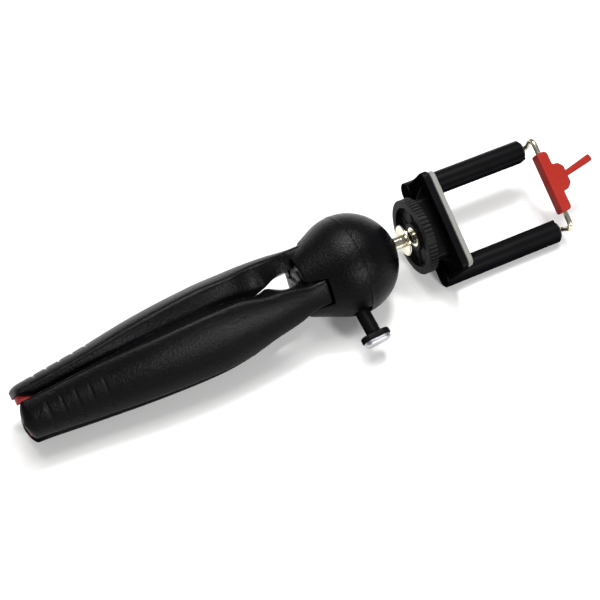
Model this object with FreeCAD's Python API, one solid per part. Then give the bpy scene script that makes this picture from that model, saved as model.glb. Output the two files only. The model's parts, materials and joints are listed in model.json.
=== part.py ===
"""Mini tripod with a ball head and a spring phone clamp, folded and lying on a table.

Sizes are in millimetres. The tripod is built along its own X axis, from the feet (-X) to the clamp (+X),
with the centre of the round head at the origin. Angles around that axis are counted from straight up (+Z)
towards -Y. At the end the folded body, the tilted head and the turned clamp are set down on the table.
"""
import FreeCAD
import Part
import math
import os

Vector = FreeCAD.Vector
Rotation = FreeCAD.Rotation
Placement = FreeCAD.Placement

CENTRE = Vector(0, 0, 0)
X_AXIS = Vector(1, 0, 0)
Y_AXIS = Vector(0, 1, 0)
Z_AXIS = Vector(0, 0, 1)

# Clearances
RUNNING_FIT = 0.05
PRESS_FIT = 0.02
SEAM_GAP = 0.2
SIDE_GAP = 0.35
OVERCUT = 1.0

# Round head and the taper that carries the legs
HEAD_RADIUS = 22.5
TAPER_DEG = 24.0
LOBE_END = 24.0
PARTING_X = 0.0
CORE_RADIUS = 5.1
CROWN_FACE_X = 20.9
CROWN_ROUNDING = 0.6
NECK_OPENING_RADIUS = 5.9

# Leg hinges
LEG_ANGLES = (59.5, -60.5, 179.5)
LEG_OPENINGS = (0.0, 0.0, 1.3)
HALF_SECTOR = 60.0
HINGE_X = -21.7
HINGE_RADIUS = 10.9
HINGE_PIN_RADIUS = 1.25
HINGE_PIN_LENGTH = 16.0
KNUCKLE_REACH = 5.3
KNUCKLE_RADIUS = 3.6
KNUCKLE_WIDTH = 11.6
KNUCKLE_TOP_RADIUS = 16.2

# Legs: distance from the head's centre, heights of crown, side edges and inner edges, and width
NECK_AT = 23.0
NECK_CROWN = 16.8
NECK_EDGE = 15.6
NECK_ROOT = 9.2
NECK_WIDTH = 11.7
THROAT_AT = 32.0
THROAT_CROWN = 18.0
THROAT_EDGE = 15.3
THROAT_ROOT = 7.8
THROAT_ROOT_WIDTH = 11.4
THROAT_WIDTH = 17.2
SHOULDER_AT = 43.0
SHOULDER_CROWN = 18.9
SHOULDER_EDGE = 15.6
SHOULDER_ROOT = 4.4
SHOULDER_WIDTH = 20.4
CALF_AT = 53.0
CALF_CROWN = 19.2
CALF_EDGE = 14.8
CALF_ROOT = 5.6
CALF_WIDTH = 25.6
BELLY_AT = 68.0
BELLY_CROWN = 19.4
BELLY_EDGE = 15.4
BELLY_ROOT = 7.4
BELLY_WIDTH = 27.2
SHIN_AT = 94.0
SHIN_CROWN = 17.9
SHIN_EDGE = 13.6
SHIN_ROOT = 7.0
SHIN_WIDTH = 26.0
ANKLE_AT = 121.0
ANKLE_CROWN = 14.6
ANKLE_EDGE = 10.2
ANKLE_ROOT = 5.6
ANKLE_WIDTH = 23.6
TIP_AT = 152.3
TIP_CROWN = 11.6
TIP_EDGE = 7.2
TIP_ROOT = 4.2
TIP_WIDTH = 17.8
LEG_WALL = 2.4
TIP_ROUNDING = 4.5
LEG_STEP = 5.4

# Grip grooves across the outer face of each leg
GROOVE_COUNT = 5
GROOVE_FIRST_AT = 115.3
GROOVE_PITCH = 6.0
GROOVE_WIDTH = 0.9
GROOVE_DEPTH = 0.45
GROOVE_LENGTH = 14.2

# Red soles under the leg tips
SOLE_LENGTH = 26.0
SOLE_SETBACK = 1.2
SOLE_BOND = 0.03

# Hub plate and its screw, between the legs
HUB_PLATE_THICKNESS = 2.4
HUB_DISC_RADIUS = 5.2
HUB_ARM_THICKNESS = 1.4
HUB_ARM_WIDTH = 5.6
HUB_ARM_REACH = 8.6
HUB_CORNER_ROUNDING = 1.0
HUB_SCREW_RADIUS = 1.5
HUB_SCREW_LENGTH = 11.0
HUB_SCREW_HEAD_RADIUS = 2.8
HUB_SCREW_HEAD_HEIGHT = 1.4
HUB_SCREW_SOCKET = 1.1
HUB_SCREW_SINK = 1.2

# Ball, its seat and the plunger behind it
BALL_RADIUS = 7.5
BALL_X = 16.3
SEAT_RADIUS = 8.3
SEAT_BACK_X = 6.9
SEAT_FRONT_X = 15.4
PLUNGER_RADIUS = 6.8
PLUNGER_GAP = 0.1

# Lock screw and its knob
KNOB_ANGLE = 108.0
KNOB_X = -4.2
SCREW_RADIUS = 2.5
SCREW_TIP_RADIUS = 0.5
SCREW_TIP_AT = 1.2
SCREW_CONE_DEG = 30.0
SCREW_PITCH = 0.8
SCREW_GRIP = 6.0
SPOT_FACE_RADIUS = 4.6
SPOT_FACE_AT = 20.4
STEM_RADIUS = 3.25
STEM_FOOT_AT = 21.0
STEM_TOP_AT = 32.2
KNOB_LENGTH = 13.4
KNOB_DEPTH = 7.6
KNOB_THICKNESS = 3.0
KNOB_ROUNDING = 0.8
KNOB_CAP_MARGIN = 0.7
KNOB_CAP_THICKNESS = 2.0
KNOB_CAP_ROUNDING = 1.5

# Stud on the ball
STUD_NECK_RADIUS = 2.85
FLANGE_X = 27.9
FLANGE_RADIUS = 7.0
FLANGE_THICKNESS = 1.2
FLANGE_CHAMFER = 0.3
THREAD_RADIUS = 3.175
STUD_END_X = 41.5

# Knurled lock wheel
WHEEL_X = 31.9
WHEEL_THICKNESS = 4.4
WHEEL_RADIUS = 17.25
WHEEL_RIM = 3.4
WHEEL_WEB = 2.0
WHEEL_HUB_RADIUS = 6.4
WHEEL_HUB_SETBACK = 1.0
WHEEL_SPOKES = 6
WHEEL_SPOKE_WIDTH = 1.5
KNURL_COUNT = 56
KNURL_CUT_RADIUS = 0.62
KNURL_LIP = 1.0
INSERT_WALL = 1.2

# Clamp base: block on the stud, shelf with its pad, and the plate that carries the tubes
BLOCK_X = 36.6
BLOCK_LENGTH = 28.0
BLOCK_DEPTH = 16.0
BLOCK_ROUNDING = 2.0
SHELF_X = 42.4
SHELF_THICKNESS = 3.0
SHELF_LENGTH = 46.6
SHELF_FRONT = 16.0
SHELF_ROUNDING = 3.5
PAD_THICKNESS = 2.3
PAD_MARGIN = 1.0
BACK_PLATE_X = 41.8
NUT_RADIUS = 4.8
NUT_SETBACK = 0.6

# Tubes of the clamp
TUBE_SPACING = 40.8
TUBE_BEHIND = 9.8
TUBE_X = 41.8
TUBE_LENGTH = 59.2
TUBE_RADIUS = 5.1
TUBE_BORE_RADIUS = 3.4
RAIL_INSET = 5.1
RAIL_WIDTH = 7.0
TUBE_END_WALL = 2.0
TUBE_SLOT_LENGTH = 4.0
TUBE_SLOT_WIDTH = 1.6
BUSH_LENGTH = 4.0
BUSH_STEP = 0.9
BUSH_STEP_RADIUS = 4.1

# Wire bow, its stops and springs
WIRE_RADIUS = 1.25
BOW_GAP = 0.2
BOW_BEHIND = 1.0
BOW_SPREAD = 2.6
WIRE_BEND_RADIUS = 3.0
STOP_RADIUS = 3.1
STOP_LENGTH = 2.4
SPRING_COIL_RADIUS = 2.5
SPRING_WIRE_RADIUS = 0.4
SPRING_END_GAP = 0.3

# Red jaw on the wire
JAW_LENGTH = 29.0
JAW_OFFSET = 0.1
JAW_REACH = 2.7
JAW_BACK = 2.7
JAW_DEPTH = 6.4
JAW_ROUNDING = 1.2
BOSS_WIDTH = 13.0
BOSS_OFFSET = 1.0
BOSS_REACH = 7.5
BOSS_CHAMFER = 2.6
TAB_THICKNESS = 2.4
TAB_DEPTH = 6.0
TAB_LENGTH = 17.0
TAB_LEAN_DEG = 12.0

# How the folded tripod lies on the table
HEAD_YAW_DEG = -2.7


def box(x_from, x_to, y_from, y_to, z_from, z_to):
    """A box between three pairs of planes."""
    corner = Vector(x_from, y_from, z_from)
    return Part.makeBox(x_to - x_from, y_to - y_from, z_to - z_from, corner)


def rod(radius, x_from, x_to, y=0.0, z=0.0):
    """A round rod along X."""
    return Part.makeCylinder(radius, x_to - x_from, Vector(x_from, y, z), X_AXIS)


def post(radius, z_from, z_to, x=0.0):
    """A round post along Z."""
    return Part.makeCylinder(radius, z_to - z_from, Vector(x, 0, z_from), Z_AXIS)


def ball(radius, x):
    """A ball on the X axis."""
    return Part.makeSphere(radius, Vector(x, 0, 0))


def turn_about_x(shape, angle):
    """A copy of a shape, turned about the X axis."""
    copy = shape.copy()
    copy.rotate(CENTRE, X_AXIS, angle)
    return copy


def closed_prism(edges, sweep):
    """A solid swept from the face inside a closed chain of edges."""
    wire = Part.Wire(Part.__sortEdges__(edges))
    return Part.Face(wire).extrude(sweep)


def polygon_prism(points, sweep):
    """A solid swept from a straight-sided outline."""
    wire = Part.makePolygon(points + points[:1])
    return Part.Face(wire).extrude(sweep)


def edges_along(shape, direction):
    """The straight edges of a shape that run along one direction."""
    found = []
    for edge in shape.Edges:
        if edge.Curve.TypeId != "Part::GeomLine":
            continue
        if abs(edge.Curve.Direction.dot(direction)) > 0.999:
            found.append(edge)
    return found


def arc(start, middle, end):
    """An edge along a circle through three points."""
    return Part.Arc(start, middle, end).toShape()


def line(start, end):
    """A straight edge."""
    return Part.LineSegment(start, end).toShape()


def taper_radius(x):
    """Radius of the cone that is tangent to the head, at a place on the axis."""
    taper = math.radians(TAPER_DEG)
    tangent_x = -HEAD_RADIUS * math.sin(taper)
    return HEAD_RADIUS * math.cos(taper) + (x - tangent_x) * math.tan(taper)


def housing_blank():
    """The head below the parting line, with its solid taper."""
    taper = math.radians(TAPER_DEG)
    tangent = Vector(-HEAD_RADIUS * math.sin(taper), 0, HEAD_RADIUS * math.cos(taper))
    parting_angle = math.acos(PARTING_X / HEAD_RADIUS)
    parting = Vector(PARTING_X, 0, HEAD_RADIUS * math.sin(parting_angle))
    halfway = (parting_angle + math.pi / 2 + taper) / 2
    middle = Vector(HEAD_RADIUS * math.cos(halfway), 0, HEAD_RADIUS * math.sin(halfway))
    end_axis = Vector(-LOBE_END, 0, 0)
    end_corner = Vector(-LOBE_END, 0, taper_radius(-LOBE_END))
    parting_axis = Vector(PARTING_X, 0, 0)
    edges = [
        line(end_axis, end_corner),
        line(end_corner, tangent),
        arc(tangent, middle, parting),
        line(parting, parting_axis),
        line(parting_axis, end_axis),
    ]
    outline = Part.Face(Part.Wire(edges))
    return outline.revolve(CENTRE, X_AXIS, 360)


def knuckle_swing():
    """How far the corner of a leg's knuckle reaches from its pin."""
    return math.hypot(KNUCKLE_REACH, KNUCKLE_TOP_RADIUS - HINGE_RADIUS)


def leg_slot():
    """The slot in the taper that one leg swings in, for a leg at the top."""
    half_width = KNUCKLE_WIDTH / 2 + SIDE_GAP
    slot_end = HINGE_X + knuckle_swing() + SIDE_GAP
    slot = box(-LOBE_END - OVERCUT, slot_end, -half_width, half_width, CORE_RADIUS, HEAD_RADIUS + OVERCUT)
    return slot


def pin_hole(clearance):
    """The hole for a hinge pin, for a leg at the top."""
    length = HINGE_PIN_LENGTH + 2 * PRESS_FIT
    start = Vector(HINGE_X, -length / 2, HINGE_RADIUS)
    return Part.makeCylinder(HINGE_PIN_RADIUS + clearance, length, start, Y_AXIS)


def plunger_back():
    """Where the back face of the plunger lies at rest."""
    return KNOB_X + SCREW_TIP_RADIUS + RUNNING_FIT


def body_housing():
    """The lower head with the three lobes that carry the legs."""
    housing = housing_blank()
    bore_floor = KNOB_X - SCREW_RADIUS - OVERCUT
    housing = housing.cut(rod(PLUNGER_RADIUS + RUNNING_FIT, bore_floor, PARTING_X + OVERCUT))
    for angle in LEG_ANGLES:
        housing = housing.cut(turn_about_x(leg_slot(), angle))
        housing = housing.cut(turn_about_x(pin_hole(PRESS_FIT), angle))
    screw_hole = rod(HUB_SCREW_RADIUS + PRESS_FIT, -LOBE_END - OVERCUT, -LOBE_END + HUB_SCREW_LENGTH)
    housing = housing.cut(screw_hole)
    thread = post(SCREW_RADIUS + RUNNING_FIT, 0, HEAD_RADIUS + OVERCUT, KNOB_X)
    spot_face = post(SPOT_FACE_RADIUS, SPOT_FACE_AT, HEAD_RADIUS + OVERCUT, KNOB_X)
    housing = housing.cut(turn_about_x(thread, KNOB_ANGLE))
    return housing.cut(turn_about_x(spot_face, KNOB_ANGLE))


def head_cap():
    """The upper head with its flat crown, which holds the ball in its socket."""
    cap = ball(HEAD_RADIUS, 0).cut(rod(HEAD_RADIUS, CROWN_FACE_X, HEAD_RADIUS + OVERCUT))
    flat_edge = [edge for edge in cap.Edges if abs(edge.BoundBox.XMin - CROWN_FACE_X) < PRESS_FIT]
    cap = cap.makeFillet(CROWN_ROUNDING, flat_edge)
    below = box(-HEAD_RADIUS - OVERCUT, PARTING_X + SEAM_GAP,
                -HEAD_RADIUS - OVERCUT, HEAD_RADIUS + OVERCUT,
                -HEAD_RADIUS - OVERCUT, HEAD_RADIUS + OVERCUT)
    cap = cap.cut(below)
    cap = cap.cut(ball(BALL_RADIUS + RUNNING_FIT, BALL_X))
    cap = cap.cut(rod(NECK_OPENING_RADIUS, BALL_X, CROWN_FACE_X + OVERCUT))
    return cap.cut(rod(SEAT_RADIUS + RUNNING_FIT, PARTING_X, BALL_X))


def hinge_pin():
    """One steel hinge pin, for a leg at the top."""
    start = Vector(HINGE_X, -HINGE_PIN_LENGTH / 2, HINGE_RADIUS)
    return Part.makeCylinder(HINGE_PIN_RADIUS, HINGE_PIN_LENGTH, start, Y_AXIS)


def hub_plate():
    """The three-armed plate that closes the end of the taper between the legs."""
    x_from = -LOBE_END - HUB_PLATE_THICKNESS
    arm_face = -LOBE_END - HUB_ARM_THICKNESS
    plate = rod(HUB_DISC_RADIUS, x_from, -LOBE_END)
    for leg_angle in LEG_ANGLES:
        arm = box(arm_face, -LOBE_END, -HUB_ARM_WIDTH / 2, HUB_ARM_WIDTH / 2, 0, HUB_ARM_REACH)
        outer_edges = [edge for edge in edges_along(arm, X_AXIS) if edge.CenterOfMass.z > HUB_DISC_RADIUS]
        arm = arm.makeFillet(HUB_CORNER_ROUNDING, outer_edges)
        plate = plate.fuse(turn_about_x(arm, leg_angle + HALF_SECTOR))
    plate = plate.removeSplitter()
    plate = plate.cut(rod(HUB_SCREW_HEAD_RADIUS + RUNNING_FIT, x_from - OVERCUT, x_from + HUB_SCREW_SINK))
    return plate.cut(rod(HUB_SCREW_RADIUS + RUNNING_FIT, x_from - OVERCUT, OVERCUT - LOBE_END))


def hub_screw():
    """The socket-head screw on the axis that holds the hub plate, sunk into it."""
    plate_face = -LOBE_END - HUB_PLATE_THICKNESS + HUB_SCREW_SINK
    head = rod(HUB_SCREW_HEAD_RADIUS, plate_face - HUB_SCREW_HEAD_HEIGHT, plate_face)
    shank = rod(HUB_SCREW_RADIUS, plate_face, -LOBE_END + HUB_SCREW_LENGTH - HUB_SCREW_RADIUS)
    hexagon = Part.makePolygon([
        Vector(plate_face - HUB_SCREW_HEAD_HEIGHT,
               HUB_SCREW_SOCKET * math.cos(math.radians(60 * corner)),
               HUB_SCREW_SOCKET * math.sin(math.radians(60 * corner)))
        for corner in range(7)])
    socket = Part.Face(hexagon).extrude(X_AXIS * (HUB_SCREW_HEAD_HEIGHT / 2))
    return head.fuse(shank).cut(socket)


def leg_stations():
    """Distance, crown, side edge, inner edge, and half widths at side and inner edge, at each station."""
    return [
        (NECK_AT, NECK_CROWN, NECK_EDGE, NECK_ROOT, NECK_WIDTH / 2, NECK_WIDTH / 2),
        (THROAT_AT, THROAT_CROWN, THROAT_EDGE, THROAT_ROOT, THROAT_WIDTH / 2, THROAT_ROOT_WIDTH / 2),
        (SHOULDER_AT, SHOULDER_CROWN, SHOULDER_EDGE, SHOULDER_ROOT, SHOULDER_WIDTH / 2, SHOULDER_WIDTH / 2),
        (CALF_AT, CALF_CROWN, CALF_EDGE, CALF_ROOT, CALF_WIDTH / 2, CALF_WIDTH / 2),
        (BELLY_AT, BELLY_CROWN, BELLY_EDGE, BELLY_ROOT, BELLY_WIDTH / 2, BELLY_WIDTH / 2),
        (SHIN_AT, SHIN_CROWN, SHIN_EDGE, SHIN_ROOT, SHIN_WIDTH / 2, SHIN_WIDTH / 2),
        (ANKLE_AT, ANKLE_CROWN, ANKLE_EDGE, ANKLE_ROOT, ANKLE_WIDTH / 2, ANKLE_WIDTH / 2),
        (TIP_AT, TIP_CROWN, TIP_EDGE, TIP_ROOT, TIP_WIDTH / 2, TIP_WIDTH / 2),
    ]


def eased(points, at):
    """A value on the smooth curve through pairs of place and value, in order of place."""
    last = len(points) - 1
    step = max(i for i in range(last) if points[i][0] <= at or i == 0)
    slopes = []
    for end in (step, step + 1):
        before = points[max(end - 1, 0)]
        after = points[min(end + 1, last)]
        slopes.append((after[1] - before[1]) / (after[0] - before[0]))
    (start, start_value), (stop, stop_value) = points[step], points[step + 1]
    reach = stop - start
    share = (at - start) / reach
    rise = share * share * (3 - 2 * share)
    bend_in = slopes[0] * reach * share * (1 - share) ** 2
    bend_out = slopes[1] * reach * share * share * (share - 1)
    return start_value + rise * (stop_value - start_value) + bend_in + bend_out


def leg_measures(distance):
    """A leg's measures at a distance, its inner edge kept inside the third of the tripod that it fills."""
    stations = leg_stations()
    measures = []
    for column in range(1, len(stations[0])):
        measures.append(eased([(station[0], station[column]) for station in stations], distance))
    crown, edge, root, half, root_half = measures
    sector_half = root * math.tan(math.radians(HALF_SECTOR)) - SIDE_GAP
    return crown, edge, root, half, min(root_half, sector_half)


def leg_distances(start):
    """Evenly spaced distances along a leg, from a start to the tip."""
    count = math.ceil((TIP_AT - start) / LEG_STEP)
    return [start + (TIP_AT - start) * number / count for number in range(count + 1)]


def leg_section(distance, crown, edge, root, half, root_half):
    """One closed outline across a leg at the top: an arc over the crown, two side walls, open foot line."""
    edge_left = Vector(-distance, -half, edge)
    edge_right = Vector(-distance, half, edge)
    root_left = Vector(-distance, -root_half, root)
    root_right = Vector(-distance, root_half, root)
    edges = [
        arc(edge_left, Vector(-distance, 0, crown), edge_right),
        line(edge_right, root_right),
        line(root_right, root_left),
        line(root_left, edge_left),
    ]
    return Part.Wire(edges)


def leg_outside():
    """The outer form of a leg, from the neck to the tip."""
    sections = []
    for distance in leg_distances(NECK_AT):
        crown, edge, root, half, root_half = leg_measures(distance)
        sections.append(leg_section(distance, crown, edge, root, half, root_half))
    return Part.makeLoft(sections, True, True)


def leg_inside(clearance):
    """The hollow under a leg's wall, from the shoulder to the tip, made smaller by a clearance."""
    wall = LEG_WALL + clearance
    sections = []
    for distance in leg_distances(SHOULDER_AT):
        crown, edge, root, half, root_half = leg_measures(distance)
        sections.append(leg_section(distance, crown - wall, edge - wall / 2, root - OVERCUT,
                                    half - wall, root_half - wall))
    return Part.makeLoft(sections, True, True)


def leg_knuckle():
    """The rounded end of a leg that turns on the hinge pin."""
    end_x = HINGE_X + KNUCKLE_REACH
    quarter = KNUCKLE_RADIUS * math.sqrt(0.5)
    side = -KNUCKLE_WIDTH / 2
    top_end = Vector(end_x, side, KNUCKLE_TOP_RADIUS)
    low_end = Vector(end_x, side, HINGE_RADIUS)
    beside_pin = Vector(HINGE_X + KNUCKLE_RADIUS, side, HINGE_RADIUS)
    round_middle = Vector(HINGE_X + quarter, side, HINGE_RADIUS - quarter)
    below_pin = Vector(HINGE_X, side, HINGE_RADIUS - KNUCKLE_RADIUS)
    neck_low = Vector(-NECK_AT - 2 * OVERCUT, side, NECK_ROOT)
    neck_high = Vector(-NECK_AT - 2 * OVERCUT, side, KNUCKLE_TOP_RADIUS)
    edges = [
        line(top_end, low_end),
        line(low_end, beside_pin),
        arc(beside_pin, round_middle, below_pin),
        line(below_pin, neck_low),
        line(neck_low, neck_high),
        line(neck_high, top_end),
    ]
    return closed_prism(edges, Y_AXIS * KNUCKLE_WIDTH)


def tip_trim():
    """What is cut away to round the end of a leg, seen from outside."""
    start = -TIP_AT + TIP_ROUNDING
    half = TIP_WIDTH / 2 + OVERCUT
    ellipse = Part.Ellipse(Vector(start, 0, 0), half, TIP_ROUNDING)
    ellipse_edge = Part.Edge(ellipse)
    ellipse_edge.rotate(Vector(start, 0, 0), Z_AXIS, 90)
    rounded = Part.Face(Part.Wire([ellipse_edge])).extrude(Z_AXIS * HEAD_RADIUS)
    ahead = box(-TIP_AT - OVERCUT, start, -HEAD_RADIUS, HEAD_RADIUS, 0, HEAD_RADIUS)
    return ahead.cut(rounded)


def crown_arc_radius():
    """Radius of the outer arc across a leg at the ankle."""
    rise = ANKLE_CROWN - ANKLE_EDGE
    return ((ANKLE_WIDTH / 2) ** 2 + rise ** 2) / (2 * rise)


def grip_groove(distance):
    """One shallow groove across the outer face of a leg."""
    radius = crown_arc_radius()
    centre_z = leg_measures(distance)[0] - radius
    x_from = -distance - GROOVE_WIDTH / 2
    x_to = -distance + GROOVE_WIDTH / 2
    ring = rod(radius + OVERCUT, x_from, x_to, 0, centre_z)
    ring = ring.cut(rod(radius - GROOVE_DEPTH, x_from - OVERCUT, x_to + OVERCUT, 0, centre_z))
    half = GROOVE_LENGTH / 2
    return ring.common(box(x_from, x_to, -half, half, 0, HEAD_RADIUS))


def leg():
    """One leg at the top: shell, knuckle, pin hole, rounded tip and grip grooves."""
    body = leg_outside().cut(leg_inside(0)).fuse(leg_knuckle())
    body = body.cut(pin_hole(RUNNING_FIT))
    body = body.cut(tip_trim())
    for number in range(GROOVE_COUNT):
        body = body.cut(grip_groove(GROOVE_FIRST_AT + number * GROOVE_PITCH))
    return body


def leg_sole():
    """The red rubber sole that fills the tip of a leg at the top."""
    end = TIP_AT - SOLE_SETBACK
    reach = box(-end, -end + SOLE_LENGTH, -HEAD_RADIUS, HEAD_RADIUS, 0, HEAD_RADIUS)
    return leg_inside(SOLE_BOND).common(leg_outside()).common(reach).cut(tip_trim())


def opened(shape, opening):
    """A copy of a leg's piece, swung outwards about its hinge pin, for a leg at the top."""
    copy = shape.copy()
    copy.rotate(Vector(HINGE_X, 0, HINGE_RADIUS), Y_AXIS, opening)
    return copy


def ball_stud():
    """The chromed ball with its neck, flange and threaded stud, turned from one outline."""
    ball_back = Vector(BALL_X - BALL_RADIUS, 0, 0)
    ball_top = Vector(BALL_X, 0, BALL_RADIUS)
    neck_reach = math.sqrt(BALL_RADIUS ** 2 - STUD_NECK_RADIUS ** 2)
    flange_end = FLANGE_X + FLANGE_THICKNESS
    corners = [
        Vector(BALL_X + neck_reach, 0, STUD_NECK_RADIUS),
        Vector(FLANGE_X, 0, STUD_NECK_RADIUS),
        Vector(FLANGE_X, 0, FLANGE_RADIUS - FLANGE_CHAMFER),
        Vector(FLANGE_X + FLANGE_CHAMFER, 0, FLANGE_RADIUS),
        Vector(flange_end - FLANGE_CHAMFER, 0, FLANGE_RADIUS),
        Vector(flange_end, 0, FLANGE_RADIUS - FLANGE_CHAMFER),
        Vector(flange_end, 0, THREAD_RADIUS),
        Vector(STUD_END_X, 0, THREAD_RADIUS),
        Vector(STUD_END_X, 0, 0),
        ball_back,
    ]
    edges = [arc(ball_back, ball_top, corners[0])]
    edges += [line(start, end) for start, end in zip(corners, corners[1:])]
    return Part.Face(Part.Wire(edges)).revolve(CENTRE, X_AXIS, 360)


def ball_seat():
    """The nylon cup that the ball turns in."""
    seat = rod(SEAT_RADIUS, SEAT_BACK_X, SEAT_FRONT_X)
    return seat.cut(ball(BALL_RADIUS + RUNNING_FIT, BALL_X))


def screw_cone_length():
    """Length of the cone on the lock screw."""
    return (SCREW_RADIUS - SCREW_TIP_RADIUS) / math.tan(math.radians(SCREW_CONE_DEG))


def screw_point(clearance, shank_clearance):
    """The cone and shank of the lock screw standing on the axis, with a clearance all round."""
    cone = Part.makeCone(SCREW_TIP_RADIUS + clearance, SCREW_RADIUS + clearance, screw_cone_length(),
                         Vector(KNOB_X, 0, SCREW_TIP_AT), Z_AXIS)
    shank_from = SCREW_TIP_AT + screw_cone_length()
    shank = post(SCREW_RADIUS + shank_clearance, shank_from, STEM_FOOT_AT + SCREW_GRIP, KNOB_X)
    return cone.fuse(shank)


def plunger_lift():
    """How far one turn of the knob lets the plunger move."""
    return SCREW_PITCH * math.tan(math.radians(SCREW_CONE_DEG))


def plunger():
    """The brass plunger that the lock screw wedges against the ball seat."""
    body = rod(PLUNGER_RADIUS, plunger_back(), SEAT_BACK_X - PLUNGER_GAP)
    groove = screw_point(RUNNING_FIT, plunger_lift() + RUNNING_FIT)
    return body.cut(turn_about_x(groove, KNOB_ANGLE))


def lock_screw():
    """The cone-pointed screw that the knob drives."""
    return turn_about_x(screw_point(0, 0), KNOB_ANGLE)


def oval_prism(length, depth, z_from, z_to):
    """A straight-sided oval standing on the knob's axis, long along X."""
    straight = (length - depth) / 2
    middle = box(KNOB_X - straight, KNOB_X + straight, -depth / 2, depth / 2, z_from, z_to)
    ends = post(depth / 2, z_from, z_to, KNOB_X - straight).fuse(post(depth / 2, z_from, z_to, KNOB_X + straight))
    return middle.fuse(ends).removeSplitter()


def knob_handle():
    """The black T-shaped handle of the lock screw."""
    stem = post(STEM_RADIUS, STEM_FOOT_AT, STEM_TOP_AT + KNOB_THICKNESS / 2, KNOB_X)
    head = oval_prism(KNOB_LENGTH, KNOB_DEPTH, STEM_TOP_AT, STEM_TOP_AT + KNOB_THICKNESS)
    lower_rim = [edge for edge in head.Edges if abs(edge.CenterOfMass.z - STEM_TOP_AT) < 0.01]
    head = head.makeFillet(KNOB_ROUNDING, lower_rim)
    handle = stem.fuse(head)
    bore = post(SCREW_RADIUS + RUNNING_FIT, STEM_FOOT_AT - OVERCUT, STEM_FOOT_AT + SCREW_GRIP + RUNNING_FIT, KNOB_X)
    return turn_about_x(handle.cut(bore), KNOB_ANGLE)


def knob_cap():
    """The silver oval cap on the outer end of the knob."""
    top = STEM_TOP_AT + KNOB_THICKNESS
    length = KNOB_LENGTH - 2 * KNOB_CAP_MARGIN
    depth = KNOB_DEPTH - 2 * KNOB_CAP_MARGIN
    cap = oval_prism(length, depth, top, top + KNOB_CAP_THICKNESS)
    upper_rim = [edge for edge in cap.Edges if abs(edge.CenterOfMass.z - top - KNOB_CAP_THICKNESS) < 0.01]
    cap = cap.makeFillet(KNOB_CAP_ROUNDING, upper_rim)
    return turn_about_x(cap, KNOB_ANGLE)


def lock_wheel():
    """The knurled wheel that locks the clamp on the stud."""
    wheel_end = WHEEL_X + WHEEL_THICKNESS
    wheel = rod(WHEEL_RADIUS, WHEEL_X, wheel_end)
    wheel = wheel.cut(rod(WHEEL_RADIUS - WHEEL_RIM, WHEEL_X - OVERCUT, wheel_end - WHEEL_WEB))
    hub_face = WHEEL_X + WHEEL_HUB_SETBACK
    wheel = wheel.fuse(rod(WHEEL_HUB_RADIUS, hub_face, wheel_end))
    spoke_face = (hub_face + wheel_end - WHEEL_WEB) / 2
    for number in range(WHEEL_SPOKES):
        spoke = box(spoke_face, wheel_end - WHEEL_WEB / 2, -WHEEL_SPOKE_WIDTH / 2, WHEEL_SPOKE_WIDTH / 2,
                    WHEEL_HUB_RADIUS - INSERT_WALL / 2, WHEEL_RADIUS - WHEEL_RIM / 2)
        wheel = wheel.fuse(turn_about_x(spoke, 360 * number / WHEEL_SPOKES))
    cutters = []
    for number in range(KNURL_COUNT):
        cutter = rod(KNURL_CUT_RADIUS, WHEEL_X + KNURL_LIP, wheel_end + OVERCUT, 0, WHEEL_RADIUS)
        cutters.append(turn_about_x(cutter, 360 * number / KNURL_COUNT))
    wheel = wheel.cut(Part.makeCompound(cutters))
    insert_hole = THREAD_RADIUS + RUNNING_FIT + INSERT_WALL + PRESS_FIT
    return wheel.cut(rod(insert_hole, WHEEL_X - OVERCUT, wheel_end + OVERCUT))


def wheel_insert():
    """The brass thread insert in the hub of the wheel."""
    x_from = WHEEL_X + WHEEL_HUB_SETBACK
    x_to = WHEEL_X + WHEEL_THICKNESS
    sleeve = rod(THREAD_RADIUS + RUNNING_FIT + INSERT_WALL, x_from, x_to)
    return sleeve.cut(rod(THREAD_RADIUS + RUNNING_FIT, x_from - OVERCUT, x_to + OVERCUT))


def tube_form(clearance):
    """The outer form of one tube, round with a flat rail towards the phone, on the positive side."""
    x_from = TUBE_X - clearance
    x_to = TUBE_X + TUBE_LENGTH
    y = TUBE_SPACING / 2
    round_bar = rod(TUBE_RADIUS + clearance, x_from, x_to, y, -TUBE_BEHIND)
    half_rail = RAIL_WIDTH / 2 + clearance
    rail = box(x_from, x_to, y - RAIL_INSET - clearance, y, -TUBE_BEHIND - half_rail, -TUBE_BEHIND + half_rail)
    return round_bar.fuse(rail)


def clamp_tube():
    """One black spring tube, on the positive side: closed at the back, open at the front."""
    y = TUBE_SPACING / 2
    tube = tube_form(0)
    bore = rod(TUBE_BORE_RADIUS, TUBE_X + TUBE_END_WALL, TUBE_X + TUBE_LENGTH + OVERCUT, y, -TUBE_BEHIND)
    slot = box(TUBE_X + TUBE_END_WALL, TUBE_X + TUBE_END_WALL + TUBE_SLOT_LENGTH,
               y - TUBE_SLOT_WIDTH / 2, y + TUBE_SLOT_WIDTH / 2,
               -TUBE_BEHIND, -TUBE_BEHIND + TUBE_RADIUS + OVERCUT)
    return tube.cut(bore).cut(slot)


def tube_bush():
    """The stepped bush in the open end of a tube, which guides the wire, on the positive side."""
    y = TUBE_SPACING / 2
    mouth = TUBE_X + TUBE_LENGTH
    plug = rod(TUBE_BORE_RADIUS - PRESS_FIT, mouth - BUSH_LENGTH, mouth, y, -TUBE_BEHIND)
    step = rod(BUSH_STEP_RADIUS, mouth, mouth + BUSH_STEP, y, -TUBE_BEHIND)
    hole = rod(WIRE_RADIUS + RUNNING_FIT, mouth - BUSH_LENGTH - OVERCUT, mouth + BUSH_STEP + OVERCUT,
               y, -TUBE_BEHIND)
    return plug.fuse(step).cut(hole)


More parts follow.
